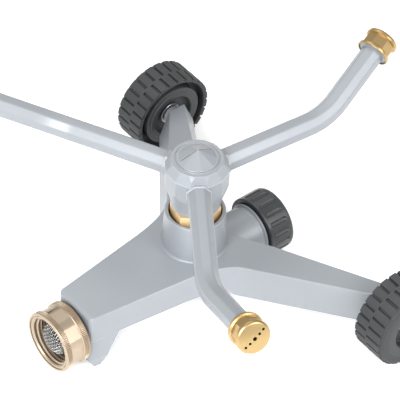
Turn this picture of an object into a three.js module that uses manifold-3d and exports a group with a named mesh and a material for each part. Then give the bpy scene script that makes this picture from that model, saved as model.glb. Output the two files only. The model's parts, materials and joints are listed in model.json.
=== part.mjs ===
// A three-arm rotary lawn sprinkler on a wheeled, die-cast base. Units are millimetres and +Z is up.
// The design is drawn about the rotor's axis with the ground at z = 0. The group is then moved so that
// the origin is the centre of the front foot's pad. The hose comes in along +Y.
import * as THREE from "three";
import { ConvexGeometry } from "three/addons/geometries/ConvexGeometry.js";
import { mergeVertices } from "three/addons/utils/BufferGeometryUtils.js";
import Module from "manifold-3d";

const wasm = await Module();
wasm.setup();

// ---- driving dimensions ----
const gap = 0.3; // between pieces that touch
const runningGap = 0.09; // between a turning piece and its journal

const hoseAxis = 20.3; // height of the inlet and outlet passages
const deckTop = 37.4;
const passageRadius = 6;

// Inlet leg and its foot
const inletFace = 79; // from the rotor's axis to the leg's end
const inletHalfEnd = 13.4;
const inletHalfRoot = 23.8;
const inletBottom = 20;
const inletPipeRadius = 11;
const footPadStart = 76.9;
const footPadEnd = 73.3;
const footHeelHeight = 4.9;
const footHeelReach = 69.3;
const footRootReach = 62;

// Wheel legs: a root section beside the hub and a tip section at the wheel
const legRoot = { x: 30, y: 17.8, halfTop: 12.4, halfBottom: 16.7, top: deckTop, bottom: 19 };
const legTip = { x: 88.5, y: 59.3, halfTop: 5.15, halfBottom: 12.2, top: 33.1, bottom: 17.2 };
const legWall = 2.6;
const legPocketStart = 36;
const legPocketEnd = 78;
const cornerReach = 22; // where the inlet leg's side starts to turn into a wheel leg

// Hub of the base: a column below, a cup above
const columnRadius = 12;
const columnBottom = 8;
const bossFootRadius = 18.4;
const bossRadius = 17.4;
const bossFilletHeight = 2;
const cupTop = 60;
const cupOuterRadius = 16.2;
const cupInnerRadius = 14.2;
const cupFloor = 47;

// Rear outlet spigot and its cap
const spigotRadius = 14.2;
const spigotEndRadius = 13.7;
const spigotCollar = 39.2; // where the thread starts
const spigotCollarRadius = 14.9;
const spigotCollarWidth = 1.2;
const spigotThreadRadius = 13.3;
const spigotEnd = 50;
const spigotBore = 9;
const capRadius = 17.55;
const capStart = 40.7;
const capLength = 15.7;
const capFloor = 3.2;
const capFlutes = 18;
const capFluteDepth = 0.9;
const capChamfer = 1.6;
const hoseWasher = { outer: 13.1, inner: 8, thick: 2.5 };

// Inlet coupling on its stem
const couplingRadius = 17;
const couplingWaist = 16.2;
const couplingLength = 15.2;
const couplingBandWidth = 3.4;
const couplingSides = 8;
const couplingThreadRadius = 13.6;
const couplingBack = 3.2; // thickness of its back wall
const couplingStandOff = 2.9; // from the leg's end
const stemNeckRadius = 9.2;
const stemFlange = { radius: 12.6, thick: 1.6 };
const stemCollar = { radius: 11.4, thick: 1.3 };
const stemThreadRadius = 8.4;
const stemDepth = 13;
const stemBore = 6.4;
const stemSealThick = 0.8;
const screen = { rim: 10.6, dome: 9.4, height: 5.7, fullness: 0.7, wall: 0.5, rimThick: 0.6 };

// Pivot stem in the cup, and what turns on it
const hexCorner = 13.5;
const hexBottom = 48.6;
const hexTop = 64.4;
const hexChamfer = 1.1;
const pivotThreadRadius = 7.6;
const pivotBottom = 36;
const postRadius = 6.2;
const postTop = 90.4;
const pivotBore = 4.4;
const pivotBoreTop = 88.4;
const portRadius = 2.4;
const tipRadius = 3.5;
const tipTop = 98;
const thrustWasher = { outer: 10.2, thick: 1 };
const upperWasher = { outer: 6.3, thick: 0.8 };
const nut = { flats: 9, thick: 2.8 };

// Rotor hub
const rotorSides = 12;
const rotorFlats = 16.6; // from the axis to a flat
const rotorCorner = 17.2;
const skirtBottom = 65.8;
const skirtRadius = 13.3;
const skirtTop = 69.5;
const flareRadius = 14.6;
const flareTop = 73.5;
const facetBottom = 81.8;
const facetTop = 91.6;
const rotorTop = 97.6;
const rotorTopRadius = 13.3;
const bushingOuter = 8.4;
const bushingTop = 79.2;
const chamberRadius = 10.4;
const chamberBottom = 79.8;
const chamberTop = 91.8;
const webTop = 93.4;
const capPlugRadius = 9.2;
const capConeRadius = 10.8;
const capConeBase = 97.9;
const capApex = 103.4;
const capConeSides = 10;
const capHollowRadius = 6.6;

// Arms: an eight-sided tube, a bend sideways and up, an end flange and a threaded end
const armCount = 3;
const armFirst = THREE.MathUtils.degToRad(-35);
const armHeight = 87;
const armDroop = THREE.MathUtils.degToRad(-1.5);
const armFlats = 12;
const armBore = 4.1;
const armStart = rotorFlats + gap;
const armToBend = 82.2;
const bendAngle = THREE.MathUtils.degToRad(28.25);
const bendTwist = THREE.MathUtils.degToRad(46.9); // of the bend's plane, up from level
const bendRadius = 47;
const bendSteps = 6;
const bendToFace = 57.7; // from the bend's corner to the nozzle's face
const tenonRadius = 5.1;
const tenonLength = 5.4;
const socketRadius = 6.5;
const sealRadius = 0.5;
const armFlange = { radius: 8.3, thick: 1 };
const armThreadRadius = 6.7;

// Nozzle caps
const nozzleLength = 12.2;
const nozzleRimRadius = 9.3;
const nozzleRimWidth = 2;
const nozzleRimLip = 0.5; // how far the rim stands behind the arm's flange
const nozzleRadius = 9.1;
const nozzleDisc = 3.7; // from the face back to the neck
const nozzleNeckRadius = 7.95;
const nozzleDome = 0.8;
const nozzleFaceThick = 2.2;
const nozzleHoles = [-6.3, -3.4, 0, 3.4, 6.3];
const nozzleHoleRadius = 0.65;
const nozzleMainHoleRadius = 1;
const nozzleRowTilt = THREE.MathUtils.degToRad(39);
const nozzleWasherThick = 1.2;

// Wheels
const wheelInner = 91.3; // from the middle plane to the wheel's inner face
const wheelWidth = 20.2;
const wheelRadius = 24.6;
const axleY = legTip.y;
const treadBlocks = 30;
const treadDepth = 1.3;
const centreRib = 0.9; // full-height rib between the two rows of blocks
const treadBand = 21.9; // inside radius of the tread band
const innerGroove = 6.1; // depth of the ring-shaped hollow inside the band's inner edge
const discRadius = 18.3;
const innerRecess = { radius: 12, depth: 3.6 };
const outerRecess = { radius: 13, depth: 6 };
const sidewall = 3.4; // width of the sloping outer shoulder
const sidewallRadius = 21.4;
const pinRadius = 3;
const pinStart = 83.5;
const pinHead = { radius: 5.4, thick: 2.6 };
const axleBossRadius = 6.6;
const axleBossStart = 86.5;
const axleWasher = { outer: 6.4, thick: 0.9 };

// ---- helpers ----

function toSolid(geometry) {
  const bare = new THREE.BufferGeometry();
  const loose = geometry.index ? geometry.toNonIndexed() : geometry;
  bare.setAttribute("position", loose.getAttribute("position"));
  const merged = mergeVertices(bare, 1e-3);
  const triVerts = new Uint32Array(merged.index.array);
  const vertProperties = new Float32Array(merged.attributes.position.array);
  return new wasm.Manifold(new wasm.Mesh({ numProp: 3, vertProperties, triVerts }));
}

function toGeometry(solid) {
  const mesh = solid.getMesh();
  const geometry = new THREE.BufferGeometry();
  geometry.setAttribute("position", new THREE.BufferAttribute(mesh.vertProperties, 3));
  geometry.setIndex(new THREE.BufferAttribute(mesh.triVerts, 1));
  const loose = geometry.toNonIndexed();
  loose.computeVertexNormals();
  return loose;
}

// How many sides a round body of this radius gets.
function sidesFor(radius) {
  if (radius > 12) return 36;
  return radius > 6.9 ? 24 : 16;
}

// A body turned from [radius, height] points that go up the outside, about the named axis.
function turned(points, axis = "z", segments = sidesFor(Math.max(...points.map(([r]) => r)))) {
  const geometry = new THREE.LatheGeometry(points.map(([r, h]) => new THREE.Vector2(r, h)), segments);
  if (axis === "z") geometry.rotateX(Math.PI / 2);
  if (axis === "x") geometry.rotateZ(-Math.PI / 2);
  return toSolid(geometry);
}

const disc = (radius, from, to, axis, segments) =>
  turned([[0, from], [radius, from], [radius, to], [0, to]], axis, segments);

const ring = (inner, outer, from, to, axis, segments) =>
  turned([[inner, from], [outer, from], [outer, to], [inner, to], [inner, from]], axis, segments);

// A flat outline pushed up from one height to another.
function prism(points, from, to) {
  const shape = new THREE.Shape(points.map(([x, y]) => new THREE.Vector2(x, y)));
  const geometry = new THREE.ExtrudeGeometry(shape, { depth: to - from, bevelEnabled: false });
  geometry.translate(0, 0, from);
  return toSolid(geometry);
}

function polygon(count, radius, phase = 0) {
  return Array.from({ length: count }, (_, i) => {
    const angle = phase + (i * 2 * Math.PI) / count;
    return [radius * Math.cos(angle), radius * Math.sin(angle)];
  });
}

const hull = (points) => toSolid(new ConvexGeometry(points));

// The four corners of a leg's section, for one side of the base.
function legSection({ x, y, halfTop, halfBottom, top, bottom }, side) {
  return [
    new THREE.Vector3(side * x, y - halfTop, top),
    new THREE.Vector3(side * x, y + halfTop, top),
    new THREE.Vector3(side * x, y + halfBottom, bottom),
    new THREE.Vector3(side * x, y - halfBottom, bottom),
  ];
}

// The leg's section at another distance from the middle plane, on the line from root to tip.
function legSectionAt(x, shrink = 0) {
  const t = (x - legRoot.x) / (legTip.x - legRoot.x);
  const along = (key) => legRoot[key] + t * (legTip[key] - legRoot[key]);
  return {
    x,
    y: along("y"),
    halfTop: along("halfTop") - shrink,
    halfBottom: along("halfBottom") - shrink,
    top: Math.min(along("top"), deckTop) - shrink,
    bottom: along("bottom"),
  };
}

function place(solid, matrix) {
  return solid.transform(matrix.elements);
}

// Rings of points joined into one closed skin, the first and last filled flat.
function loft(rings) {
  const count = rings[0].length;
  const positions = [];
  const face = (a, b, c) => positions.push(...a.toArray(), ...b.toArray(), ...c.toArray());
  for (let k = 0; k + 1 < rings.length; k++) {
    for (let i = 0; i < count; i++) {
      const j = (i + 1) % count;
      face(rings[k][i], rings[k][j], rings[k + 1][j]);
      face(rings[k][i], rings[k + 1][j], rings[k + 1][i]);
    }
  }
  const last = rings[rings.length - 1];
  for (let i = 1; i + 1 < count; i++) {
    face(rings[0][0], rings[0][i + 1], rings[0][i]);
    face(last[0], last[i], last[i + 1]);
  }
  const geometry = new THREE.BufferGeometry();
  geometry.setAttribute("position", new THREE.Float32BufferAttribute(positions, 3));
  return toSolid(geometry);
}

// ---- materials ----

const material = (color, roughness, metalness) =>
  new THREE.MeshStandardMaterial({ color, roughness, metalness });
const silverPaint = material(0xb2b8be, 0.45, 0.35);
const brass = material(0xd9b27a, 0.35, 0.9);
const goldBrass = material(0xdca85a, 0.3, 0.9);
const darkPlastic = material(0x4c4f50, 0.7, 0);
const wheelPlastic = material(0x55585a, 0.75, 0);
const steel = material(0xa8abad, 0.35, 0.9);
const meshSteel = material(0x9c9ea0, 0.4, 0.9);
const blackRubber = material(0x252525, 0.9, 0);
const whiteNylon = material(0xe4e2da, 0.5, 0);

const sprinkler = new THREE.Group();
sprinkler.name = "sprinkler";
sprinkler.position.y = (footPadStart + footPadEnd) / 2;

function add(name, solid, look) {
  const mesh = new THREE.Mesh(toGeometry(solid), look);
  mesh.name = name;
  sprinkler.add(mesh);
}

// ---- base casting ----

function wheelLeg(side) {
  const hubSection = { ...legSectionAt(0), top: deckTop, bottom: legRoot.bottom };
  const inner = hull([...legSection(hubSection, side), ...legSection(legRoot, side)]);
  const outer = hull([...legSection(legRoot, side), ...legSection(legTip, side)]);
  const pocketRoot = legSectionAt(legPocketStart, legWall);
  const pocketTip = legSectionAt(legPocketEnd, legWall);
  const below = (section) => ({ ...section, bottom: section.bottom - gap });
  const pocket = hull([...legSection(below(pocketRoot), side), ...legSection(below(pocketTip), side)]);
  return inner.add(outer).subtract(pocket);
}

// Fills the inside corner between the inlet leg and a wheel leg with a rounded wall.
function cornerWeb(side) {
  const joint = legSectionAt(32);
  const start = new THREE.Vector2(inletHalfRoot - (inletHalfRoot - inletHalfEnd) * cornerReach / inletFace, -cornerReach);
  const end = new THREE.Vector2(joint.x, joint.y - joint.halfTop);
  const bow = new THREE.Vector2(start.x + 3.4, 0.8);
  const curve = new THREE.QuadraticBezierCurve(start, bow, end);
  const outline = [[0, -cornerReach], ...curve.getPoints(8).map((p) => [p.x, p.y]), [0, end.y]];
  const web = prism(outline, legRoot.bottom, deckTop - 0.02);
  return side > 0 ? web : web.mirror([1, 0, 0]);
}

function inletLeg() {
  const plan = [[-inletHalfEnd, -inletFace], [inletHalfEnd, -inletFace], [inletHalfRoot, 0], [-inletHalfRoot, 0]];
  const bar = prism(plan, inletBottom, deckTop);
  // The foot is drawn from the side, height against distance, and pushed across the leg.
  const side = [
    [-inletFace, inletBottom + 2],
    [-inletFace, 4],
    [-footPadStart - 0.9, 0.9],
    [-footPadStart, 0],
    [-footPadEnd, 0],
    [-footPadEnd + 2.2, 1.5],
    [-footHeelReach, footHeelHeight],
    [-footRootReach - 1.5, inletBottom - 2],
    [-footRootReach, inletBottom + 2],
  ];
  const across = new THREE.Matrix4().set(0, 0, 1, 0, 1, 0, 0, 0, 0, 1, 0, 0, 0, 0, 0, 1);
  const wideFoot = place(prism(side, -inletHalfRoot, inletHalfRoot), across);
  const foot = wideFoot.intersect(prism(plan, 0, deckTop));
  return bar.add(foot).add(disc(inletPipeRadius, -inletFace, 0, "y").translate([0, 0, hoseAxis]));
}

function boss() {
  return turned([
    [0, columnBottom],
    [columnRadius, columnBottom],
    [columnRadius, inletBottom + 2],
    [bossFootRadius, inletBottom + 4],
    [bossFootRadius, deckTop],
    [bossRadius, deckTop + bossFilletHeight / 3],
    [bossRadius - 0.25, deckTop + bossFilletHeight],
    [cupOuterRadius, cupTop - 0.8],
    [cupOuterRadius - 0.5, cupTop],
    [0, cupTop],
  ]);
}

function spigot() {
  return turned([
    [0, 0],
    [spigotRadius, 0],
    [spigotEndRadius, spigotCollar - spigotCollarWidth],
    [spigotCollarRadius, spigotCollar - spigotCollarWidth + 0.3],
    [spigotCollarRadius, spigotCollar],
    [spigotThreadRadius, spigotCollar + 0.3],
    [spigotThreadRadius, spigotEnd],
    [0, spigotEnd],
  ], "y").translate([0, 0, hoseAxis]);
}

function axleBoss(side) {
  const end = wheelInner + innerRecess.depth - axleWasher.thick - 2 * gap;
  const body = disc(axleBossRadius, axleBossStart, end, "x").translate([0, axleY, wheelRadius]);
  return side > 0 ? body : body.mirror([1, 0, 0]);
}

const axleHole = (side) => {
  const hole = disc(pinRadius + gap, pinStart - gap, wheelInner + wheelWidth, "x");
  const placed = hole.translate([0, axleY, wheelRadius]);
  return side > 0 ? placed : placed.mirror([1, 0, 0]);
};

function baseCasting() {
  let body = inletLeg().add(boss()).add(spigot());
  for (const side of [1, -1]) {
    body = body.add(wheelLeg(side)).add(cornerWeb(side)).add(axleBoss(side));
  }
  const cup = disc(cupInnerRadius, cupFloor, cupTop + 1, "z");
  const riser = disc(passageRadius, hoseAxis, cupFloor + 1, "z");
  const pivotHole = disc(pivotThreadRadius + gap, pivotBottom - 1, cupFloor + 1, "z");
  const inletHole = disc(passageRadius, -inletFace - 1, 0, "y").translate([0, 0, hoseAxis]);
  const stemHole = disc(stemThreadRadius + gap, -inletFace - 1, stemDepth + 0.5 - inletFace, "y");
  const outletHole = disc(passageRadius, 0, spigotEnd + 1, "y").translate([0, 0, hoseAxis]);
  const outletBore = disc(spigotBore, spigotCollar - 14, spigotEnd + 1, "y").translate([0, 0, hoseAxis]);
  body = body.subtract(cup).subtract(riser).subtract(pivotHole).subtract(inletHole);
  body = body.subtract(stemHole.translate([0, 0, hoseAxis])).subtract(outletHole).subtract(outletBore);
  return body.subtract(axleHole(1)).subtract(axleHole(-1));
}

add("base_casting", baseCasting(), silverPaint);

// ---- inlet: stem, seal, coupling, washer and screen, placed by their distance from the rotor's axis ----

const couplingBackFace = -inletFace - couplingStandOff;
const couplingMouth = couplingBackFace - couplingLength;
const couplingFloor = couplingBackFace - couplingBack;
const flangeBack = couplingFloor - gap;
const flangeFront = flangeBack - stemFlange.thick;
const collarFront = couplingBackFace + gap;
const collarBack = collarFront + stemCollar.thick;
const washerBack = flangeFront - gap;
const washerFront = washerBack - hoseWasher.thick;

function inletStem() {
  const body = turned([
    [0, flangeFront],
    [stemFlange.radius, flangeFront],
    [stemFlange.radius, flangeBack],
    [stemNeckRadius, flangeBack],
    [stemNeckRadius, collarFront],
    [stemCollar.radius, collarFront],
    [stemCollar.radius, collarBack],
    [stemThreadRadius, collarBack],
    [stemThreadRadius, stemDepth - inletFace],
    [0, stemDepth - inletFace],
  ], "y");
  return body.subtract(disc(stemBore, flangeFront - 1, stemDepth - inletFace + 1, "y"));
}

function inletCoupling() {
  const sides = prism(polygon(couplingSides, couplingRadius - 0.05, Math.PI / couplingSides), 0, couplingLength);
  const round = turned([
    [0, 0],
    [couplingRadius - 0.5, 0],
    [couplingRadius, 0.5],
    [couplingRadius, couplingBandWidth],
    [couplingWaist, couplingBandWidth + 0.8],
    [couplingWaist, couplingLength - couplingBandWidth - 0.8],
    [couplingRadius, couplingLength - couplingBandWidth],
    [couplingRadius, couplingLength - 0.4],
    [couplingRadius - 0.4, couplingLength],
    [0, couplingLength],
  ]);
  const bands = ring(0.5, 2 * couplingRadius, couplingBandWidth + 0.8, couplingLength - couplingBandWidth - 0.8);
  const faceted = round.subtract(bands.subtract(sides));
  const mouth = turned([
    [0, -1],
    [couplingThreadRadius + 1.7, -1],
    [couplingThreadRadius, 0.7],
    [couplingThreadRadius, couplingLength - couplingBack],
    [0, couplingLength - couplingBack],
  ]);
  const neck = disc(stemNeckRadius + gap, 0, couplingLength + 1);
  const upright = faceted.subtract(mouth).subtract(neck);
  return upright.rotate([-90, 0, 0]).translate([0, couplingMouth, 0]);
}

function inletScreen() {
  const steps = 5;
  const rise = (radius, height) =>
    Array.from({ length: steps + 1 }, (_, i) => {
      const angle = (i * Math.PI) / 2 / steps;
      const bulge = radius * Math.cos(angle) ** screen.fullness;
      return [bulge, washerFront - gap - screen.rimThick - height * Math.sin(angle)];
    });
  const outside = rise(screen.dome, screen.height);
  const inside = rise(screen.dome - screen.wall, screen.height - screen.wall);
  outside[steps][0] = 0;
  inside[steps][0] = 0;
  const front = washerFront - gap - screen.rimThick;
  const back = washerFront - gap;
  return turned([
    ...outside.reverse(),
    [screen.rim, front],
    [screen.rim, back],
    [screen.dome - screen.wall, back],
    ...inside,
  ], "y");
}

const atHose = (solid) => solid.translate([0, 0, hoseAxis]);

add("inlet_stem", atHose(inletStem()), brass);
const sealBack = collarBack + gap + stemSealThick;
add("inlet_stem_seal", atHose(ring(stemThreadRadius + gap, stemCollar.radius, collarBack + gap, sealBack - 0.1, "y")), blackRubber);
add("inlet_coupling", atHose(inletCoupling()), brass);
add("inlet_washer", atHose(ring(hoseWasher.inner, hoseWasher.outer, washerFront, washerBack, "y")), blackRubber);
add("inlet_screen", atHose(inletScreen()), meshSteel);

// ---- outlet cap ----

function outletCap() {
  const outline = [];
  for (let i = 0; i < capFlutes; i++) {
    const at = (share, radius) => {
      const angle = ((i + share) * 2 * Math.PI) / capFlutes;
      outline.push([radius * Math.cos(angle), radius * Math.sin(angle)]);
    };
    at(0, capRadius);
    at(0.3, capRadius);
    at(0.6, capRadius);
    at(0.7, capRadius - capFluteDepth);
    at(0.9, capRadius - capFluteDepth);
  }
  const rounded = turned([
    [0, 0],
    [capRadius - 0.4, 0],
    [capRadius + 0.2, 0.6],
    [capRadius + 0.2, capLength - capChamfer],
    [capRadius - 0.5, capLength - 0.5],
    [capRadius - capChamfer, capLength],
    [0, capLength],
  ]);
  const bore = disc(spigotThreadRadius + gap, -1, capLength - capFloor);
  const upright = prism(outline, 0, capLength).intersect(rounded).subtract(bore);
  return upright.rotate([-90, 0, 0]).translate([0, capStart, hoseAxis]);
}

add("outlet_cap", outletCap(), darkPlastic);
const outletWasherEnd = spigotEnd + gap + hoseWasher.thick;
add("outlet_cap_washer", atHose(ring(hoseWasher.inner, hoseWasher.outer, spigotEnd + gap, outletWasherEnd, "y")), blackRubber);

// ---- pivot stem, gasket, washers and nut ----

function pivotStem() {
  const corners = prism(polygon(6, hexCorner, Math.PI / 12), hexBottom, hexTop);
  const crown = turned([
    [0, hexBottom],
    [hexCorner - hexChamfer, hexBottom],
    [hexCorner, hexBottom + hexChamfer * 0.6],
    [hexCorner, hexTop - hexChamfer * 0.6],
    [hexCorner - hexChamfer * 1.8, hexTop],
    [0, hexTop],
  ]);
  const post = turned([
    [0, pivotBottom],
    [pivotThreadRadius, pivotBottom],
    [pivotThreadRadius, hexBottom + 1],
    [postRadius, hexBottom + 1],
    [postRadius, postTop],
    [tipRadius, postTop],
    [tipRadius, tipTop],
    [0, tipTop],
  ]);
  const bore = disc(pivotBore, pivotBottom - 1, pivotBoreTop);
  let body = corners.intersect(crown).add(post).subtract(bore);
  for (let k = 0; k < armCount; k++) {
    const port = disc(portRadius, 0, postRadius + 2, "x", 20);
    const turn = THREE.MathUtils.radToDeg(armFirst) + 60 + (k * 360) / armCount;
    body = body.subtract(port.rotate([0, 0, turn]).translate([0, 0, (chamberBottom + pivotBoreTop) / 2]));
  }
  return body;
}

add("pivot_stem", pivotStem(), goldBrass);
const gasketTop = hexBottom - gap;
add("stem_gasket", ring(pivotThreadRadius + gap, cupInnerRadius - 1.4, cupFloor + gap, gasketTop, "z"), blackRubber);
const lowerWasherTop = hexTop + gap + thrustWasher.thick;
add("lower_thrust_washer", ring(postRadius + gap, thrustWasher.outer, hexTop + gap, lowerWasherTop, "z"), whiteNylon);
const upperWasherBottom = webTop + gap;
const upperWasherTop = upperWasherBottom + upperWasher.thick;
add("upper_thrust_washer", ring(tipRadius + gap, upperWasher.outer, upperWasherBottom, upperWasherTop, "z"), whiteNylon);
const nutBottom = upperWasherTop + gap;
const nutBody = prism(polygon(6, nut.flats / 2 / Math.cos(Math.PI / 6)), nutBottom, nutBottom + nut.thick);
add("retaining_nut", nutBody.subtract(disc(tipRadius + 0.2, nutBottom - 1, tipTop + 5)), brass);

// ---- rotor ----

function rotorHub() {
  const sides = prism(polygon(rotorSides, rotorCorner, armFirst + Math.PI / rotorSides), skirtBottom, rotorTop);
  const round = turned([
    [0, skirtBottom],
    [skirtRadius, skirtBottom],
    [skirtRadius + 0.3, skirtTop],
    [flareRadius, flareTop],
    [rotorCorner, facetBottom],
    [rotorCorner, facetTop],
    [rotorTopRadius + 1.2, rotorTop - 1.2],
    [rotorTopRadius, rotorTop],
    [0, rotorTop],
  ]);
  let body = round.intersect(sides);
  body = body.subtract(disc(bushingOuter + 0.1, skirtBottom - 1, chamberBottom + 1));
  body = body.subtract(disc(chamberRadius, chamberBottom, chamberTop));
  body = body.subtract(disc(tipRadius + gap, chamberBottom, rotorTop + 1));
  body = body.subtract(disc(capPlugRadius + 0.2, webTop, rotorTop + 1));
  for (let k = 0; k < armCount; k++) {
    const socket = disc(socketRadius, rotorFlats - tenonLength, rotorCorner + 5, "x", 24);
    const mouth = disc(tenonRadius + gap, chamberRadius - 3, rotorFlats, "x", 24);
    body = body.subtract(place(socket.add(mouth), armFrame(k)));
  }
  return body;
}

// Turns +X into an arm's root direction and lifts it to the arm's height on the rotor's axis.
function armFrame(k) {
  const turn = armFirst + (k * 2 * Math.PI) / armCount;
  const matrix = new THREE.Matrix4().makeRotationZ(turn);
  matrix.multiply(new THREE.Matrix4().makeRotationY(-armDroop));
  return matrix.setPosition(0, 0, armHeight);
}

// Places along an arm in its own frame: the straight root, the bend and the straight end up to `end`.
function armPath(start, end) {
  const bendAxis = new THREE.Vector3(0, -Math.sin(bendTwist), Math.cos(bendTwist));
  const towards = new THREE.Vector3(0, Math.cos(bendTwist), Math.sin(bendTwist));
  const trim = bendRadius * Math.tan(bendAngle / 2);
  const centre = new THREE.Vector3(armToBend - trim, 0, 0).addScaledVector(towards, bendRadius);
  const stations = [{ point: new THREE.Vector3(start, 0, 0), turn: 0 }];
  for (let i = 0; i <= bendSteps; i++) {
    const turn = (bendAngle * i) / bendSteps;
    const spoke = towards.clone().multiplyScalar(-bendRadius).applyAxisAngle(bendAxis, turn);
    stations.push({ point: centre.clone().add(spoke), turn });
  }
  const last = stations[stations.length - 1].point.clone();
  const outwards = new THREE.Vector3(1, 0, 0).applyAxisAngle(bendAxis, bendAngle);
  stations.push({ point: last.addScaledVector(outwards, end - trim), turn: bendAngle });
  return { stations, bendAxis, outwards };
}

// A tube of the given outline swept along an arm.
function armSweep(outline, start, end) {
  const { stations, bendAxis } = armPath(start, end);
  return loft(stations.map(({ point, turn }) =>
    outline.map(([y, z]) => new THREE.Vector3(0, y, z).applyAxisAngle(bendAxis, turn).add(point))));
}

// Turns +X into the arm's end direction, with the origin at the nozzle's face, +Z kept in its upright plane.
function nozzleFrame(k) {
  const { stations, bendAxis } = armPath(armStart, bendToFace);
  const matrix = new THREE.Matrix4().makeRotationAxis(bendAxis, bendAngle);
  matrix.setPosition(stations[stations.length - 1].point);
  return armFrame(k).multiply(matrix);
}

const flangeFrom = nozzleRimLip - nozzleLength; // along the nozzle's own axis, the face being 0
const threadEnd = -nozzleFaceThick - nozzleDome - nozzleWasherThick - 2 * gap;

function arm(k) {
  const corner = armFlats / 2 / Math.cos(Math.PI / 8);
  const tube = armSweep(polygon(8, corner, Math.PI / 8), armStart, bendToFace + flangeFrom + 0.5);
  const root = disc(tenonRadius, rotorFlats - tenonLength + gap, armStart + 1, "x", 24);
  const bore = armSweep(polygon(12, armBore), 5, bendToFace + 5);
  const end = disc(armFlange.radius, flangeFrom, flangeFrom + armFlange.thick, "x")
    .add(disc(armThreadRadius, flangeFrom, threadEnd, "x"));
  const matrix = armFrame(k).invert().multiply(nozzleFrame(k));
  return place(tube.add(root).add(place(end, matrix)).subtract(bore), armFrame(k));
}

function nozzle(k) {
  const shell = turned([
    [0, -nozzleLength],
    [nozzleRimRadius - 0.25, -nozzleLength],
    [nozzleRimRadius, 0.25 - nozzleLength],
    [nozzleRimRadius, nozzleRimWidth - nozzleLength],
    [nozzleNeckRadius, nozzleRimWidth + 0.6 - nozzleLength],
    [nozzleNeckRadius, -nozzleDisc],
    [nozzleRadius, 0.4 - nozzleDisc],
    [nozzleRadius, -nozzleFaceThick],
    [nozzleRadius - 0.7, -0.9],
    [nozzleRadius - 2.2, -0.3],
    [0, 0],
  ], "x");
  const mouth = disc(armFlange.radius + 0.2, -nozzleLength - 1, flangeFrom + armFlange.thick + gap, "x");
  const thread = disc(armThreadRadius + gap, -nozzleLength - 1, threadEnd + gap + nozzleWasherThick + gap, "x");
  let body = shell.subtract(mouth).subtract(thread);
  for (const offset of nozzleHoles) {
    const radius = offset === 0 ? nozzleMainHoleRadius : nozzleHoleRadius;
    const hole = disc(radius, -nozzleFaceThick - 3, 1, "x", 8);
    const across = offset * Math.cos(nozzleRowTilt);
    body = body.subtract(hole.translate([0, across, offset * Math.sin(nozzleRowTilt)]));
  }
  return place(body, nozzleFrame(k));
}

function nozzleWasher(k) {
  const from = threadEnd + gap;
  return place(ring(armBore, armThreadRadius - 0.2, from, from + nozzleWasherThick, "x", 24), nozzleFrame(k));
}

function armSeal(k) {
  const inner = tenonRadius + 0.2;
  const from = rotorFlats - tenonLength + 1.2;
  return place(ring(inner, inner + 2 * sealRadius, from, from + 2, "x", 24), armFrame(k));
}

function rotorTopCap() {
  const plugBottom = webTop + 1.3;
  const skin = turned([
    [0, plugBottom],
    [capPlugRadius, plugBottom],
    [capPlugRadius, capConeBase - 0.2],
    [0, capConeBase - 0.2],
  ]);
  const rim = disc(capConeRadius, capConeBase - gap + 0.3, capConeBase + 0.3);
  const point = turned([[0, capConeBase], [capConeRadius - 0.4, capConeBase + 0.3], [0, capApex]], "z", capConeSides);
  const hollow = turned([
    [0, plugBottom - 1],
    [capHollowRadius, plugBottom - 1],
    [capHollowRadius, tipTop - 0.6],
    [tipRadius + 0.6, tipTop + gap],
    [0, tipTop + gap],
  ]);
  return skin.add(disc(capPlugRadius, plugBottom, capConeBase + 0.1)).add(rim).add(point).subtract(hollow);
}

add("rotor_hub", rotorHub(), silverPaint);
add("rotor_bushing", ring(postRadius + runningGap, bushingOuter, lowerWasherTop + gap, bushingTop, "z"), whiteNylon);
add("rotor_top_cap", rotorTopCap(), silverPaint);
add("top_cap_seal", ring(capHollowRadius + 0.6, capPlugRadius - 0.2, webTop + 0.2, webTop + 1.1, "z"), blackRubber);
for (let k = 0; k < armCount; k++) {
  const label = `_${k + 1}`;
  add("arm" + label, arm(k), silverPaint);
  add("arm_seal" + label, armSeal(k), blackRubber);
  add("nozzle" + label, nozzle(k), goldBrass);
  add("nozzle_washer" + label, nozzleWasher(k), blackRubber);
}

// ---- wheels, drawn about +X with 0 at the inner face ----

function treadRow(from, to, phase) {
  const outline = [];
  for (let i = 0; i < treadBlocks; i++) {
    const at = (share, radius) => {
      const angle = ((i + share + phase) * 2 * Math.PI) / treadBlocks;
      outline.push([radius * Math.cos(angle), radius * Math.sin(angle)]);
    };
    at(0, wheelRadius - treadDepth);
    at(0.18, wheelRadius - treadDepth);
    at(0.22, wheelRadius);
    at(0.96, wheelRadius);
  }
  return prism(outline, from, to);
}

function tyre() {
  const middle = (wheelWidth - sidewall - centreRib) / 2;
  let band = treadRow(0, middle, 0).add(treadRow(middle + centreRib, wheelWidth - sidewall, 0.5));
  band = band.add(disc(wheelRadius, middle - 0.1, middle + centreRib + 0.1));
  band = band.add(turned([
    [0, wheelWidth - sidewall - 1],
    [wheelRadius - 0.3, wheelWidth - sidewall - 1],
    [wheelRadius - 0.3, wheelWidth - sidewall + 0.6],
    [sidewallRadius, wheelWidth],
    [0, wheelWidth],
  ]));
  band = band.subtract(disc(treadBand, -1, innerGroove));
  return band.subtract(disc(discRadius + gap, -2, wheelWidth + 2)).rotate([0, 90, 0]);
}

function wheelHub() {
  const webFrom = innerRecess.depth;
  const webTo = wheelWidth - outerRecess.depth;
  return turned([
    [pinRadius + runningGap, webFrom],
    [innerRecess.radius, webFrom],
    [innerRecess.radius, 0],
    [discRadius - 0.6, 0],
    [discRadius, 0.6],
    [discRadius, wheelWidth - 0.6],
    [discRadius - 0.6, wheelWidth],
    [outerRecess.radius, wheelWidth],
    [outerRecess.radius, webTo],
    [pinRadius + runningGap, webTo],
    [pinRadius + runningGap, webFrom],
  ], "x");
}

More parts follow.
